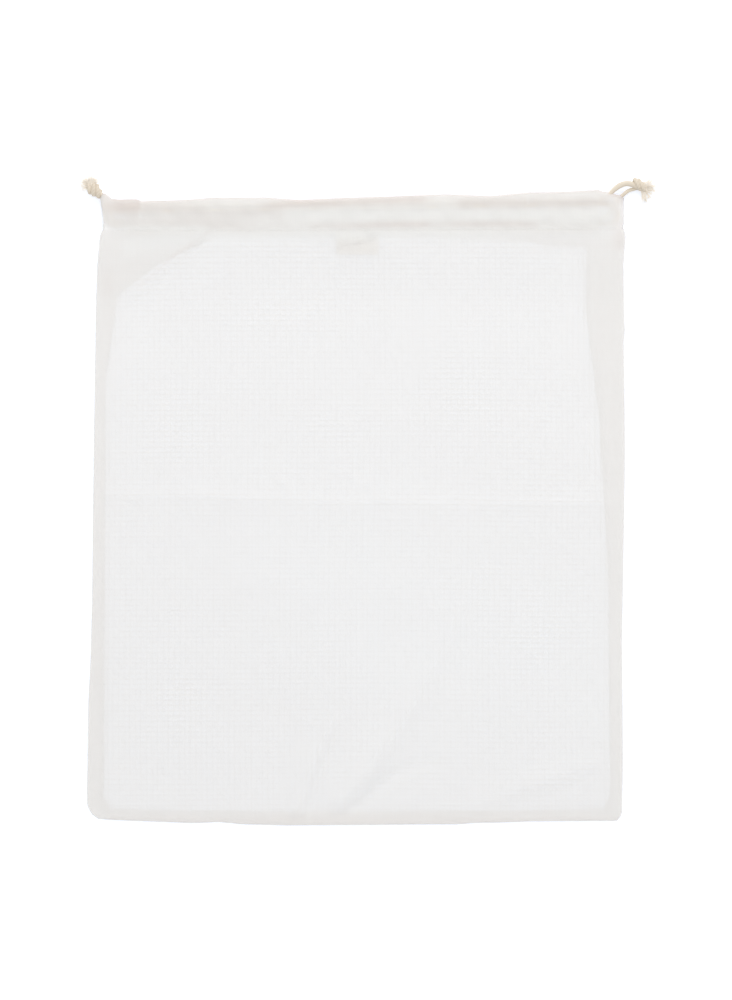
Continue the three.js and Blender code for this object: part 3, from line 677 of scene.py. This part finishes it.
# %% Height of the front
BODY_HEIGHT, SEAM_HEIGHT, EASE_LENGTH = 2.6, 5.7, 45.0
EDGE_START, EDGE_EASE = 0.5, 9.0  # how far in from an edge the creases start, and reach full height
CREASES = [  # points as x, y, height; half width; and, where it has one, its steep side and its power
    ([(-133.0, 116.0, 0.35), (-94.0, 149.0, 0.35)], 1.8, 0.3),
    ([(-156.0, 2.2, 0.5), (-110.0, 1.6, 0.6), (-60.0, 0.2, 0.7), (-20.0, -1.6, 0.7),
      (14.0, -2.2, 0.7), (80.0, -2.6, 0.7), (146.0, -2.3, 0.5)], 6.0, -0.45, 1),
    ([(-20.0, 19.0, 0.12), (10.9, -0.6, 0.2), (29.1, 13.7, 0.12)], 2.6, 0.2),
    ([(-51.0, 12.0, 0.2), (-43.0, 5.7, 0.2)], 1.6),
    ([(-13.7, -173.1, 1.7), (3.5, -151.7, 1.7), (27.3, -117.1, 1.3), (48.9, -74.0, 0.6),
      (58.0, -50.0, 0.2)], 7.5, 0.25),
    ([(-13.7, -181.0, -0.6), (-2.9, -173.3, -0.8), (14.3, -158.2, -0.8), (31.6, -149.4, -0.5),
      (46.0, -152.0, -0.2)], 4.0),
    ([(-39.6, -179.0, 1.0), (-28.8, -147.4, 0.9), (-18.0, -125.8, 0.5)], 4.0),
    ([(-33.1, -180.0, -0.7), (-28.8, -163.3, -0.6), (-20.2, -138.7, -0.3)], 3.0),
    ([(64.0, -174.3, 0.4), (89.9, -164.6, 0.8), (128.8, -151.7, 0.6)], 6.0, 0.2),
]
WAVES = [  # height, turns of a sine for each mm in x and in y, and its start
    (0.10, 0.061, 0.043, 1.0), (0.08, -0.083, 0.052, 0.3), (0.06, 0.021, 0.125, 2.1),
    (0.05, 0.152, -0.034, 0.0),
]


def smoothstep(t):
    """3t^2 - 2t^3 between 0 and 1, and level outside."""
    t = np.clip(t, 0, 1)
    return t * t * (3 - 2 * t)


def soft_line(x, y, points, half, steep=0.0, power=2):
    """One soft line: value * exp(-(across / half)^power - (past its end / half)^2).

    A power of 2 is a rounded line, and 1 is a sharp one, as a press leaves it. Each place is
    measured from the nearest stretch of the line, so its bends don't add up.
    """
    nearest = np.full_like(x, np.inf)
    ridge = np.zeros_like(x)
    for (x0, y0, high0), (x1, y1, high1) in zip(points[:-1], points[1:]):
        length = np.hypot(x1 - x0, y1 - y0)
        along = ((x - x0) * (x1 - x0) + (y - y0) * (y1 - y0)) / length
        across = ((x - x0) * (y1 - y0) - (y - y0) * (x1 - x0)) / length
        past = np.maximum(np.maximum(-along, along - length), 0)
        width = half * (1 - steep * np.tanh(across / half))
        high = high0 + (high1 - high0) * np.clip(along / length, 0, 1)
        far = np.abs(across / width) ** power + (past / half) ** 2
        ridge = np.where(far < nearest, high * np.exp(-far), ridge)
        nearest = np.minimum(far, nearest)
    return ridge


def soft_lines(lines, x, y):
    """The sum of soft lines at each place."""
    return sum(soft_line(x, y, *line) for line in lines)


def waves(x, y, rows):
    """The slow unevenness of cloth that has been laid by hand: a sum of long sine waves."""
    return sum(high * np.sin(in_x * x + in_y * y + start) for high, in_x, in_y, start in rows)


def front_top(x, y):
    """The front's upper face below the casing."""
    below = seam_line(x) - y
    edge = np.minimum(np.minimum(x - left_at(y), right_at(y) - x), y - read(BOTTOM_EDGE, x))
    eased = BODY_HEIGHT + (SEAM_HEIGHT - BODY_HEIGHT) * (1 - smoothstep(below / EASE_LENGTH))
    inner = smoothstep((np.minimum(edge, below) - EDGE_START) / EDGE_EASE)
    return eased + inner * (soft_lines(CREASES, x, y) + waves(x, y, WAVES))


# %% [markdown]
# ## The front cloth's margins
#
# The same cloth folds round both sides and the bottom onto the back, where the net is sewn to its
# margins. So the sheet's outline is taken as a path, a quarter turn and another carry it under, and
# straight rows lead in to the net's edge. The grid and the path share their points, and are welded.

# %% Net outline and the margins' inner edge
NET_LEFT = np.array([  # y, x
    (-169.0, -149.7), (-57.7, -149.1), (67.4, -148.6), (116.6, -141.7), (134.5, -118.0), (147.4, -92.0),
])
NET_RIGHT = np.array([(-170.0, 139.4), (-40.6, 138.3), (46.9, 133.1), (106.3, 125.7), (144.5, 125.7)])
NET_BOTTOM = np.array([(-146.0, -177.0), (-60.0, -178.5), (60.0, -178.5), (136.0, -177.0)])
NET_TOP = np.array([  # x, y
    (-92.0, 147.4), (-84.0, 149.2), (40.0, 149.2), (70.0, 148.4), (94.0, 147.8), (100.0, 145.2),
    (125.7, 144.5),
])
NET_CORNERS = (-146.0, 136.0)  # x of the net's two bottom corners
SIDES_END, SIDE_LEFT, SIDE_RIGHT = -170.0, -147.0, 138.0  # a point above and outside is on a side
ROLL = 1.3  # how far the rolled edge stands out
MARGIN_BELOW_SEAM, DRAWN_DOWN = 2.2, 12.0  # its top ends this far below the seam, eased over this length
MARGIN_HEIGHT, MARGIN_RIPPLE = 0.06, 0.05


def inner_edge(x, y):
    """Where the margin from a point on the outline ends.

    It is level with the point at the sides, above it at the bottom, and at the net's own corner
    round a bottom corner.
    """
    sides = np.where(x < 0, read(NET_LEFT, y), read(NET_RIGHT, y))
    level = (y > SIDES_END) & ((x < SIDE_LEFT) | (x > SIDE_RIGHT))
    inside = np.where(level, sides, np.clip(x, *NET_CORNERS))
    up = np.where(level, y, read(NET_BOTTOM, inside))
    return inside, up


# %% Front cloth
COLUMNS, ROWS = 180, 170
ROLL_STEPS, MARGIN_STEPS = 7, 9


def body_grid():
    """The sheet from the casing's seam to the bottom edge, as rows of points inside its rolled rim."""
    share = np.linspace(0, 1, COLUMNS + 1)[None, :]
    down = np.linspace(0, 1, ROWS + 1)[:, None]
    nominal = BAG_LEFT + (BAG_RIGHT - BAG_LEFT) * share
    y = seam_line(nominal) * (1 - down) + (read(BOTTOM_EDGE, nominal) + ROLL) * down
    left, right = left_at(y) + ROLL, right_at(y) - ROLL
    x = left + (right - left) * share
    return np.stack([x, y, front_top(x, y)], -1)


def rim_grid(body):
    """The roll and the margin, carried along the left side, the bottom and the right side.

    The roll is a half ellipse: out by ROLL sin a, and up by half the height times 1 + cos a.
    """
    path = np.concatenate([body[:, 0], body[-1, 1:], body[-2::-1, -1]])
    ahead = unit(np.gradient(path[:, :2], axis=0))
    outward = np.stack([ahead[:, 1], -ahead[:, 0]], -1)
    angle = np.linspace(0, np.pi, ROLL_STEPS + 1)[None, :, None]
    flat = path[:, None, :2] + outward[:, None] * ROLL * np.sin(angle)
    up = path[:, None, 2:] / 2 * (1 + np.cos(angle))
    roll = np.concatenate([flat, np.broadcast_to(up, flat.shape[:2] + (1,))], -1)
    share = np.linspace(0, 1, MARGIN_STEPS + 1)[None, 1:, None]
    inside = np.stack(inner_edge(path[:, 0], path[:, 1]), -1)[:, None]
    across = path[:, None, :2] * (1 - share) + inside * share
    ripple = MARGIN_HEIGHT + MARGIN_RIPPLE * np.sin(9 * share + path[:, None, 1:2] / 7)
    margin = np.concatenate([across, ripple], -1)
    rim = np.concatenate([roll, margin], 1)
    below = seam_line(rim[..., 0]) - rim[..., 1]
    under = np.concatenate([(1 - np.cos(angle[..., 0])) / 2, np.ones((1, MARGIN_STEPS))], 1)
    rim[..., 1] -= MARGIN_BELOW_SEAM * np.clip(1 - below / DRAWN_DOWN, 0, 1) * under
    return rim


# %% [markdown]
# ### The casing's front half
#
# Above its seam the front cloth goes on over the back's casing and over its own cords, folds in at
# the top edge, and comes back down inside as a hem to the same row of stitches. One profile gives
# that loop. Each of its points hangs on the seam, on the channel's line or on the top edge, so the
# loop follows all three across the bag. At both ends the hem is left open, and there the cords turn.

# %% Casing profile
FRONT_LOOP = [  # the line that y is measured from, y from it, z
    ("seam", 0.0, 5.7), ("seam", 1.2, 5.85), ("seam", 3.0, 6.15), ("seam", 5.3, 6.45), ("seam", 7.8, 6.65),
    ("channel", -7.2, 6.8), ("channel", -5.6, 6.95), ("channel", -3.9, 7.1), ("channel", -2.0, 7.05),
    ("top", -1.2, 6.7), ("top", 0.0, 5.6), ("top", -1.2, 4.2), ("channel", -2.0, 3.2),
    ("channel", -4.2, 2.9), ("channel", -6.6, 3.1), ("seam", 7.8, 5.2), ("seam", 4.8, 5.3),
    ("seam", 2.2, 5.1), ("seam", 0.2, 4.9), ("seam", -2.2, 4.6),
]
FOLD_ROW = 11  # the row of the loop that lies just past the top fold
OPEN_ENDS = (-137.5, 132.5)  # the hems end at these x
STEPS_PER_SPAN = 3
EASE_ROWS = 6  # rows above the seam in which the casing takes up its own shape
END_DROP, END_LENGTH = 1.6, 1.4  # the casing's face comes down at the bag's sides
RIPPLES = [(0.12, 0.45, 0.3, 0.0), (0.10, 0.21, -0.4, 1.0)]  # as WAVES
PINCHES = [  # x, y, depth, half width, half length of a short valley across the casing
    (-128.6, 167.0, 0.2, 1.1, 9.0), (92.6, 170.0, 0.2, 1.2, 8.0), (-87.0, 165.0, 0.15, 5.0, 3.0),
    (-110.0, 163.0, 0.2, 6.0, 4.0), (-60.0, 160.0, 0.25, 9.0, 4.0), (34.0, 163.0, 0.2, 7.0, 5.0),
    (134.5, 171.0, 0.15, 1.5, 6.0), (-40.0, 168.0, 0.15, 5.0, 5.0), (60.0, 166.0, 0.2, 8.0, 3.0),
]


def loop_points(rows, x, top):
    """The profile's points at each x: an array of profile points by columns by y and z."""
    lines = {"seam": seam_line(x), "channel": channel_line(x), "top": top, "end": top}
    return np.stack([np.stack([lines[line] + y, np.full_like(x, z)], -1) for line, y, z in rows])


def casing_grid():
    """The loop carried across the bag. Each row's ends follow the bag's own edges."""
    share = np.linspace(0, 1, COLUMNS + 1)
    nominal = BAG_LEFT + (BAG_RIGHT - BAG_LEFT) * share
    profile = smooth_line(loop_points(FRONT_LOOP, nominal, read(TOP_EDGE, nominal)), STEPS_PER_SPAN)
    y, z = profile[..., 0], profile[..., 1]
    row = np.arange(len(y))[:, None]
    inset = ROLL * np.clip(1 - row / EASE_ROWS, 0, 1)
    left, right = left_at(y) + inset, right_at(y) - inset
    x = left + (right - left) * share
    edge = np.minimum(x - left, right - x)
    shaped = (row < FOLD_ROW * STEPS_PER_SPAN) * smoothstep(row / EASE_ROWS)
    z = z - shaped * END_DROP * np.exp(-edge / END_LENGTH)
    for px, py, depth, wide, long in PINCHES:
        z = z - shaped * depth * np.exp(-(((x - px) / wide) ** 2) - ((y - py) / long) ** 2)
    z = z + shaped * waves(x, y, RIPPLES)
    return np.stack([x, y, z], -1)


# %% [markdown]
# ### What shows through the casing, and painted shade and light
#
# The cream cords lie just under the sheer cloth, so it looks warmer and a little darker along them.
# The cloth's alpha gives some of that. The rest is light that scatters inside the cloth, which a
# surface shader doesn't follow, so it is painted as a soft value along each cord: partly the cords
# showing through, and partly painted shade on the slopes over them. The same value holds painted
# shade along the top fold, a crease at the upper left and the bottom edge, and painted light over
# the whole casing, in the strip below its seam, on a spot and two pinches, and in a broad patch low
# in the middle.

# %% Shades
BASE_SHADE = 0.08
# painted shade along the top fold
FOLD_SHADE, FOLD_SHADE_WIDTH = 0.22, 1.7  # along the top fold
SHADES = [  # points as x, y, shade, where a value below 0 is lighter; half width
    # dark bands along the cords: partly the cords showing through, partly painted shade
    ([(-149.0, 166.3, 0.20), (-140.0, 166.5, 0.34), (-130.0, 166.8, 0.34), (-127.0, 166.6, 0.16),
      (-97.0, 164.5, 0.13), (-80.0, 162.5, 0.13), (-50.0, 163.0, 0.10)], 4.5),
    ([(-60.0, 167.0, 0.08), (-50.0, 167.8, 0.20), (-40.0, 168.3, 0.26), (-18.0, 168.6, 0.24),
      (-8.0, 169.3, 0.20), (12.0, 169.9, 0.20), (31.0, 170.5, 0.20), (36.0, 170.5, 0.06)], 2.4),
    ([(50.0, 168.5, 0.06), (56.0, 168.4, 0.18), (88.0, 168.4, 0.17), (100.0, 168.6, 0.16),
      (136.5, 168.9, 0.18)], 3.0),
    ([(-30.0, 155.7, 0.06), (-12.0, 155.7, 0.10), (8.0, 156.5, 0.16), (33.0, 156.9, 0.18),
      (38.0, 156.8, 0.06), (48.0, 156.9, 0.08), (54.0, 157.0, 0.14), (88.0, 157.0, 0.14),
      (96.0, 157.0, 0.08)], 2.0),
    ([(-149.0, 158.5, 0.08), (-118.0, 158.5, 0.10), (-92.0, 158.0, 0.10), (-66.0, 155.0, 0.03)], 3.5),
    # painted light: a lighter spot, and lighter lines along two of the casing's pinches
    ([(-89.0, 165.5, -0.08), (-85.0, 165.0, -0.08)], 2.2),
    ([(-128.4, 170.5, -0.12), (-128.4, 161.0, -0.12)], 0.7),
    ([(92.8, 173.5, -0.08), (92.8, 168.5, -0.08)], 0.7),
    # painted shade along the crease at the upper left
    ([(-89.4, 152.4, 0.07), (-109.7, 138.6, 0.09), (-129.9, 120.6, 0.06)], 0.9),
    # painted light: a lighter strip just above the seam at the left
    ([(-149.0, 154.5, -0.05), (-92.0, 154.5, -0.05)], 1.7),
    ([(144.0, 172.0, 0.14), (145.0, 146.0, 0.11)], 4.0),
    # painted light: a broad lighter patch low in the middle
    ([(-20.0, -40.0, -0.02), (30.0, -80.0, -0.025), (110.0, -90.0, -0.02)], 50.0),
    ([(-134.0, 144.0, -0.06), (-104.0, 149.0, -0.06)], 5.5),
    ([(-148.0, 126.0, 0.05), (-147.0, 120.0, 0.05)], 5.0),
    # painted light over the whole casing, and in the strip below its seam
    ([(-152.0, 163.0, -0.10), (147.0, 164.0, -0.10)], 9.0),
    ([(-95.0, 150.0, -0.08), (50.0, 151.0, -0.08), (90.0, 151.0, -0.03), (147.0, 151.0, -0.03)], 3.5),
    # painted shade along the bottom edge
    ([(-147.0, -184.0, 0.06), (141.0, -184.5, 0.06)], 3.0),
]


# %% Front cloth, joined
CLOTH_THICKNESS = 0.35


def without_hem_ends(grid, quads, fold_row):
    """A loop's quads without those of its hem that lie past the hem's open ends."""
    middle = grid.reshape(-1, 3)[quads].mean(1)[:, 0]
    row = np.repeat(np.arange(grid.shape[0] - 1), grid.shape[1] - 1)
    outside = row < (fold_row + 1) * STEPS_PER_SPAN
    return quads[outside | ((middle > OPEN_ENDS[0]) & (middle < OPEN_ENDS[1]))]


def make_front():
    """The front cloth: body, rolled rim with its margins, and casing, welded into one sheet."""
    body = body_grid()
    rim = rim_grid(body)
    casing = casing_grid()
    casing[0] = body[0]
    grids = [body, rim, casing]
    quads = [grid_faces(*grid.shape[:2]) for grid in grids]
    quads = [quads[0][:, ::-1], quads[1], without_hem_ends(casing, quads[2], FOLD_ROW)]
    starts = np.cumsum([0] + [grid.size // 3 for grid in grids])
    points = np.concatenate([grid.reshape(-1, 3) for grid in grids])
    x, y = points[:, 0], points[:, 1]
    fold = np.exp(-(((read(TOP_EDGE, x) - y) / FOLD_SHADE_WIDTH) ** 2))
    values = {"shade": BASE_SHADE + soft_lines(SHADES, x, y) + FOLD_SHADE * fold}
    faces = [group + start for group, start in zip(quads, starts)]
    piece = make_piece("front_cloth", points, faces, voile, values)
    weld(piece)
    thicken(piece, CLOTH_THICKNESS)
    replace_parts(piece, "front_panel")
    return piece


front_cloth = make_front()

# %% [markdown]
# ## The heading on the back
#
# The back's upper part is a strip of a closer plain cotton. It is sewn to the net below, and its top
# is folded down inside over the back's cords, just as the front's is. It lets less light through
# than the voile, and has a closer weave.

# %% Heading
HEADING_LOOP = [
    ("end", -0.5, 0.08), ("end", 2.0, 0.05), ("seam", 3.0, 0.05), ("channel", -4.0, 0.05),
    ("top", -1.0, 0.15), ("top", 0.0, 0.9), ("top", -1.0, 1.7), ("channel", -5.5, 1.9),
    ("channel", -7.2, 2.1), ("seam", 7.6, 4.5), ("seam", 5.0, 4.75), ("seam", 2.4, 4.5),
    ("seam", 0.3, 2.6), ("seam", -1.4, 1.7), ("seam", -3.0, 1.5),
]
HEADING_FOLD_ROW = 6
HEADING_LEFT, HEADING_RIGHT, HEADING_COLUMNS = -149.4, 146.2, 150
HEADING_CORNERS = [-92.01, -91.9, 125.6, 125.71]  # columns where its lower edge jumps to the net's top
BELOW_TOP = 0.8  # the front's fold is this much higher
LOWEST_CLOTH = 0.03
SIDE_INSET, SIDE_EASE = 0.5, 6.0  # its ends lie this far inside the bag's sides, and lead there over 6 mm
OVER_MARGINS = 0.3
heading_cotton = cloth_material("plain heading cotton", "#fcf8f5", "#d6c0b5", alpha=0.5, pitch_mm=0.7)


def heading_end(x):
    """The heading's lower edge: along the net's top, and above the margins at both sides."""
    over_net = (x > NET_TOP[0, 0]) & (x < NET_TOP[-1, 0])
    return np.where(over_net, read(NET_TOP, x), seam_line(x) - MARGIN_BELOW_SEAM + OVER_MARGINS)


def make_heading():
    """The heading's loop, carried across the bag, with its ends inside the bag's own side edges."""
    x = np.sort(np.append(np.linspace(HEADING_LEFT, HEADING_RIGHT, HEADING_COLUMNS), HEADING_CORNERS))
    top = np.minimum(read(TOP_EDGE, x), channel_line(x) + 1) - BELOW_TOP
    rows = loop_points(HEADING_LOOP, x, top)
    rows[:2, :, 0] += heading_end(x) - top
    profile = smooth_line(rows, STEPS_PER_SPAN)
    y, z = profile[..., 0], np.maximum(profile[..., 1], LOWEST_CLOTH)
    near_left, near_right = (smoothstep(1 - away / SIDE_EASE) for away in (x - x[0], x[-1] - x))
    to_left = left_at(y) + SIDE_INSET - x[0]
    to_right = right_at(y) - SIDE_INSET - x[-1]
    points = np.stack([x + (near_left * to_left + near_right * to_right), y, z], -1)
    quads = grid_faces(*y.shape)[:, ::-1]
    quads = without_hem_ends(points, quads, HEADING_FOLD_ROW)
    values = {"shade": np.zeros(y.size)}
    piece = make_piece("heading_cloth", points, [quads], heading_cotton, values)
    thicken(piece, CLOTH_THICKNESS)
    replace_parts(piece, "back_heading")
    return piece


heading_cloth = make_heading()

# %% [markdown]
# ## The net
#
# The back is a cotton net with square holes about 3 mm apart. In such a net each thread that runs up
# the bag is a pair, which twists once in every hole and grips the thread that crosses it, so the
# holes keep their shape. A picture of a net on a flat sheet would be quick, but light has to pass
# through the holes. So every thread is a thin tube. The twisted pair is drawn as one tube that is
# wide where it grips and narrow where it twists. The yarn is bleached cotton, matt and very white.

# %% Net yarn
NET_PITCH_X, NET_PITCH_Y = 3.15, 3.005
NET_ACROSS, NET_UP = (-146.8, 139.5), (-178.0, 152.0)  # first and last thread of each set
NET_HEIGHT = 0.75
SEAM_LAP = 2.0
GRIP_RADIUS, TWIST_RADIUS, CROSSING_RADIUS = 0.44, 0.27, 0.46
THREAD_SIDES, CROSSING_POINTS = 4, 70
net_yarn = cord_material("cotton net yarn", "#f9fbfc", "#f2f4f5")


def drift(x, y):
    """How far the threads have wandered from straight: slow waves, the same for both sets."""
    return (
        x + 0.6 * np.sin(0.019 * y + 0.7) + 0.25 * np.sin(0.041 * y + 0.02 * x),
        y + 0.5 * np.sin(0.017 * x + 2.0) + 0.25 * np.sin(0.038 * x - 0.013 * y),
    )


def net_ends(x):
    """The net's lowest and highest y at an x, with the lap that is sewn under."""
    arc = np.interp(x, NET_LEFT[:, 1], NET_LEFT[:, 0])
    slope = np.interp(x, NET_RIGHT[::-1, 1], NET_RIGHT[::-1, 0])
    high = np.where(x < NET_TOP[0, 0], arc, np.where(x > NET_TOP[-1, 0], slope, read(NET_TOP, x)))
    return read(NET_BOTTOM, x) - SEAM_LAP, high + SEAM_LAP


def make_threads(name, x, y, radius):
    """One set of threads as closed tubes, from x and y as arrays of threads by points."""
    across, up = drift(x, y)
    lines = np.stack([across, up, np.full_like(up, NET_HEIGHT)], -1)
    points, faces = many_tubes(lines, radius, THREAD_SIDES)
    values = {"crest": np.full(len(points), 0.75)}
    piece = make_piece(name, points, faces, net_yarn, values)
    weld(piece, distance=0.002)
    return piece


def make_net():
    """The net's two sets of threads: the pairs that run up the bag, and those that cross them."""
    x = np.arange(*NET_ACROSS, NET_PITCH_X)
    rows = np.arange(*NET_UP, NET_PITCH_Y / 2)
    low, high = net_ends(x)
    y = np.clip(rows[None, :], low[:, None], high[:, None])
    grip = np.where(np.arange(len(rows)) % 2 == 0, GRIP_RADIUS, TWIST_RADIUS)
    pairs = make_threads("net_pairs", np.broadcast_to(x[:, None], y.shape), y, grip)

    y = rows[::2]
    left, right = read(NET_LEFT, y) - SEAM_LAP, read(NET_RIGHT, y) + SEAM_LAP
    t = np.linspace(0, 1, CROSSING_POINTS)
    x = left[:, None] * (1 - t) + right[:, None] * t
    y = np.broadcast_to(y[:, None], x.shape)
    crossing = make_threads("net_crossing_threads", x, y, CROSSING_RADIUS)
    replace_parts(pairs, "back_net")
    return pairs, crossing


net_pairs, net_crossing = make_net()

# %% [markdown]
# ## The label
#
# A folded tape is sewn into the casing's seam, and hangs inside, under the sheer front. Its upper
# layer is cut shorter and has been pushed askew, so its lower edge slants. It is bare. Its weave is
# so dense that no light comes through, and it looks a little grey under the cloth.

# %% Label
LABEL_LEFT, LABEL_RIGHT = -17.1, 7.4
LABEL_START, LABEL_SAG = 0.4, 0.15
SHORT_UNDER, LONG_UNDER = 0.6, 1.1  # how far the layers lie under the front's face
TAPE_THICKNESS = 0.25
TAPE_ROWS, TAPE_COLUMNS = 20, 40
# SHORT_SHADE greys the whole short layer; TUCK_SHADE is painted shadow at its tucked corner
SHORT_SHADE, TUCK_SHADE = 0.21, 0.9
# painted shadow under the short layer's slanted edge
EDGE_SHADE, EDGE_SHADE_RIGHT, EDGE_WIDTH = 0.2, 0.4, 1.6
DARKER_FROM, DARKER_OVER = -16, 12  # the edge grows darker from this x, over this length
# painted shadow where the short layer's corner is tucked
TUCK = (3.6, 150.3, 2.6, 1.5)  # x, y, half width and half height of its tucked corner
# the tape's dark colour serves the short layer's grey and its painted shadow
tape = cloth_material("cotton tape", "#f9f9f6", "#453d37", alpha=1.0, pitch_mm=0.5)
LONG_LAYER = np.array([(LABEL_LEFT, 13.7), (LABEL_RIGHT, 13.9)])  # x, drop below the seam
SHORT_LAYER = np.array([
    (LABEL_LEFT, 10.2), (-15.6, 9.9), (-10.5, 8.7), (2.4, 6.6), (5.6, 4.2), (LABEL_RIGHT, 2.2),
])


def label_layer(drop, under):
    """One layer of the tape, from the seam down to its cut edge, at a distance under the front's face.

    It sags by a half sine across its width, and the more the further down it is.
    """
    across = np.linspace(0, 1, TAPE_COLUMNS)[None, :]
    down = np.linspace(0, 1, TAPE_ROWS)[:, None]
    x = LABEL_LEFT + (LABEL_RIGHT - LABEL_LEFT) * across + 0 * down
    y = seam_line(LABEL_LEFT) - LABEL_START - read(drop, x) * down
    z = front_top(x, y) - under - LABEL_SAG * np.sin(np.pi * across) * down
    return np.stack([x, y, z], -1)


def make_label():
    """The tape's two layers, as one piece.

    The short one has painted shadow along its slanted edge, most at the right, and where its corner is
    tucked.
    """
    short, long = label_layer(SHORT_LAYER, SHORT_UNDER), label_layer(LONG_LAYER, LONG_UNDER)
    x, y = short[..., 0], short[..., 1]
    from_edge = read(SHORT_LAYER, x) * (1 - np.linspace(0, 1, TAPE_ROWS)[:, None])
    tuck_x, tuck_y, wide, high = TUCK
    tuck = np.exp(-(((x - tuck_x) / wide) ** 2) - ((y - tuck_y) / high) ** 2)
    strong = EDGE_SHADE + EDGE_SHADE_RIGHT * smoothstep((x - DARKER_FROM) / DARKER_OVER)
    edge = strong * smoothstep(EDGE_WIDTH - from_edge)
    shade = np.stack([SHORT_SHADE + edge + TUCK_SHADE * tuck, np.zeros_like(x)])
    quads = grid_faces(*x.shape)[:, ::-1]
    faces = [quads, quads + x.size]
    piece = make_piece("label_tape", np.stack([short, long]), faces, tape, {"shade": shade})
    thicken(piece, TAPE_THICKNESS)
    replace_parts(piece, "label")
    return piece


label_tape = make_label()

# %% [markdown]
# ## Stitches
#
# A lockstitch seam shows as a row of short dashes of thread, each sunk at both ends. One closes the
# casing on the front, one on the back, and one runs round the net's edge. Each stitch is a small
# tube that is thick in its middle and thin at its ends, and a whole row of them is one piece. The
# thread is spun cotton, and its colour is a little darker than the cloth's: painted shade, because
# it lies sunk in it.

# %% Sewing thread
# its colours are darker than the cloth's: painted shade of thread sunk in the cloth
sewing_thread = cord_material("cotton sewing thread", "#d2cec9", "#bbb7b1")
STITCH_LENGTH, STITCH_PITCH = 2.1, 2.7
STITCH_RADIUS, STITCH_DIP = 0.1, 0.12
STITCH_SIDES, STITCH_POINTS, FIRST_STITCH = 5, 5, 0.4
FRONT_STITCHES, BACK_STITCHES = SEAM_HEIGHT - 0.02, 0.07  # how high the thread lies
STITCH_ROWS = [  # name, ends of the row, the line it follows, its height, whether it runs up the bag
    ("casing_stitches", (-150.0, 146.0), lambda x: seam_line(x) - 0.2, FRONT_STITCHES, False),
    ("heading_stitches", (-148.0, 145.0), lambda x: seam_line(x) - 0.2, BACK_STITCHES, False),
    ("net_left_stitches", (146.0, -172.0), lambda y: read(NET_LEFT, y) - 1.0, BACK_STITCHES, True),
    ("net_right_stitches", (146.0, -172.0), lambda y: read(NET_RIGHT, y) + 1.0, BACK_STITCHES, True),
    ("net_bottom_stitches", (-149.0, 139.0), lambda x: read(NET_BOTTOM, x) - 1.0, BACK_STITCHES, False),
    ("net_top_stitches", (-91.0, 125.0), lambda x: read(NET_TOP, x) + 1.0, BACK_STITCHES, False),
]


def make_stitches(name, line):
    """Stitches at even places along a line: each is a tube that dips into the cloth at its two ends.

    With u from -1 to 1 along a stitch, it dips by STITCH_DIP u^2, and thins as sqrt(1.02 - u^2).
    """
    line, along = evenly_spaced(line, 0.3)
    starts = np.arange(FIRST_STITCH, along[-1] - STITCH_LENGTH, STITCH_PITCH)
    t = np.linspace(0, 1, STITCH_POINTS)
    u = 2 * t - 1
    places = starts[:, None] + STITCH_LENGTH * t
    lines = np.stack([np.interp(places, along, line[:, i]) for i in range(3)], -1)
    lines[..., 2] -= STITCH_DIP * u**2 * np.sign(lines[..., 2] - 1.0)
    points, faces = many_tubes(lines, STITCH_RADIUS * np.sqrt(1.02 - u**2), STITCH_SIDES)
    values = {"crest": np.full(len(points), 0.7)}
    make_piece(name, points, faces, sewing_thread, values)


for name, ends, line_at, height, runs_up in STITCH_ROWS:
    along = np.linspace(*ends, 200)
    flat = (line_at(along), along) if runs_up else (along, line_at(along))
    make_stitches(name, np.stack([*flat, np.full_like(along, height)], -1))

# %% [markdown]
# ## Counting the triangles
#
# The front was cut wider than the bag by its two margins, and longer by its bottom margin and its
# hem. Most of the net is holes. The last lines count the triangles of every piece that shows,
# before its modifiers.

triangles = sum(len(p.data.loops) - 2 * len(p.data.polygons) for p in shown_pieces())
print("Triangles before modifiers:", triangles)
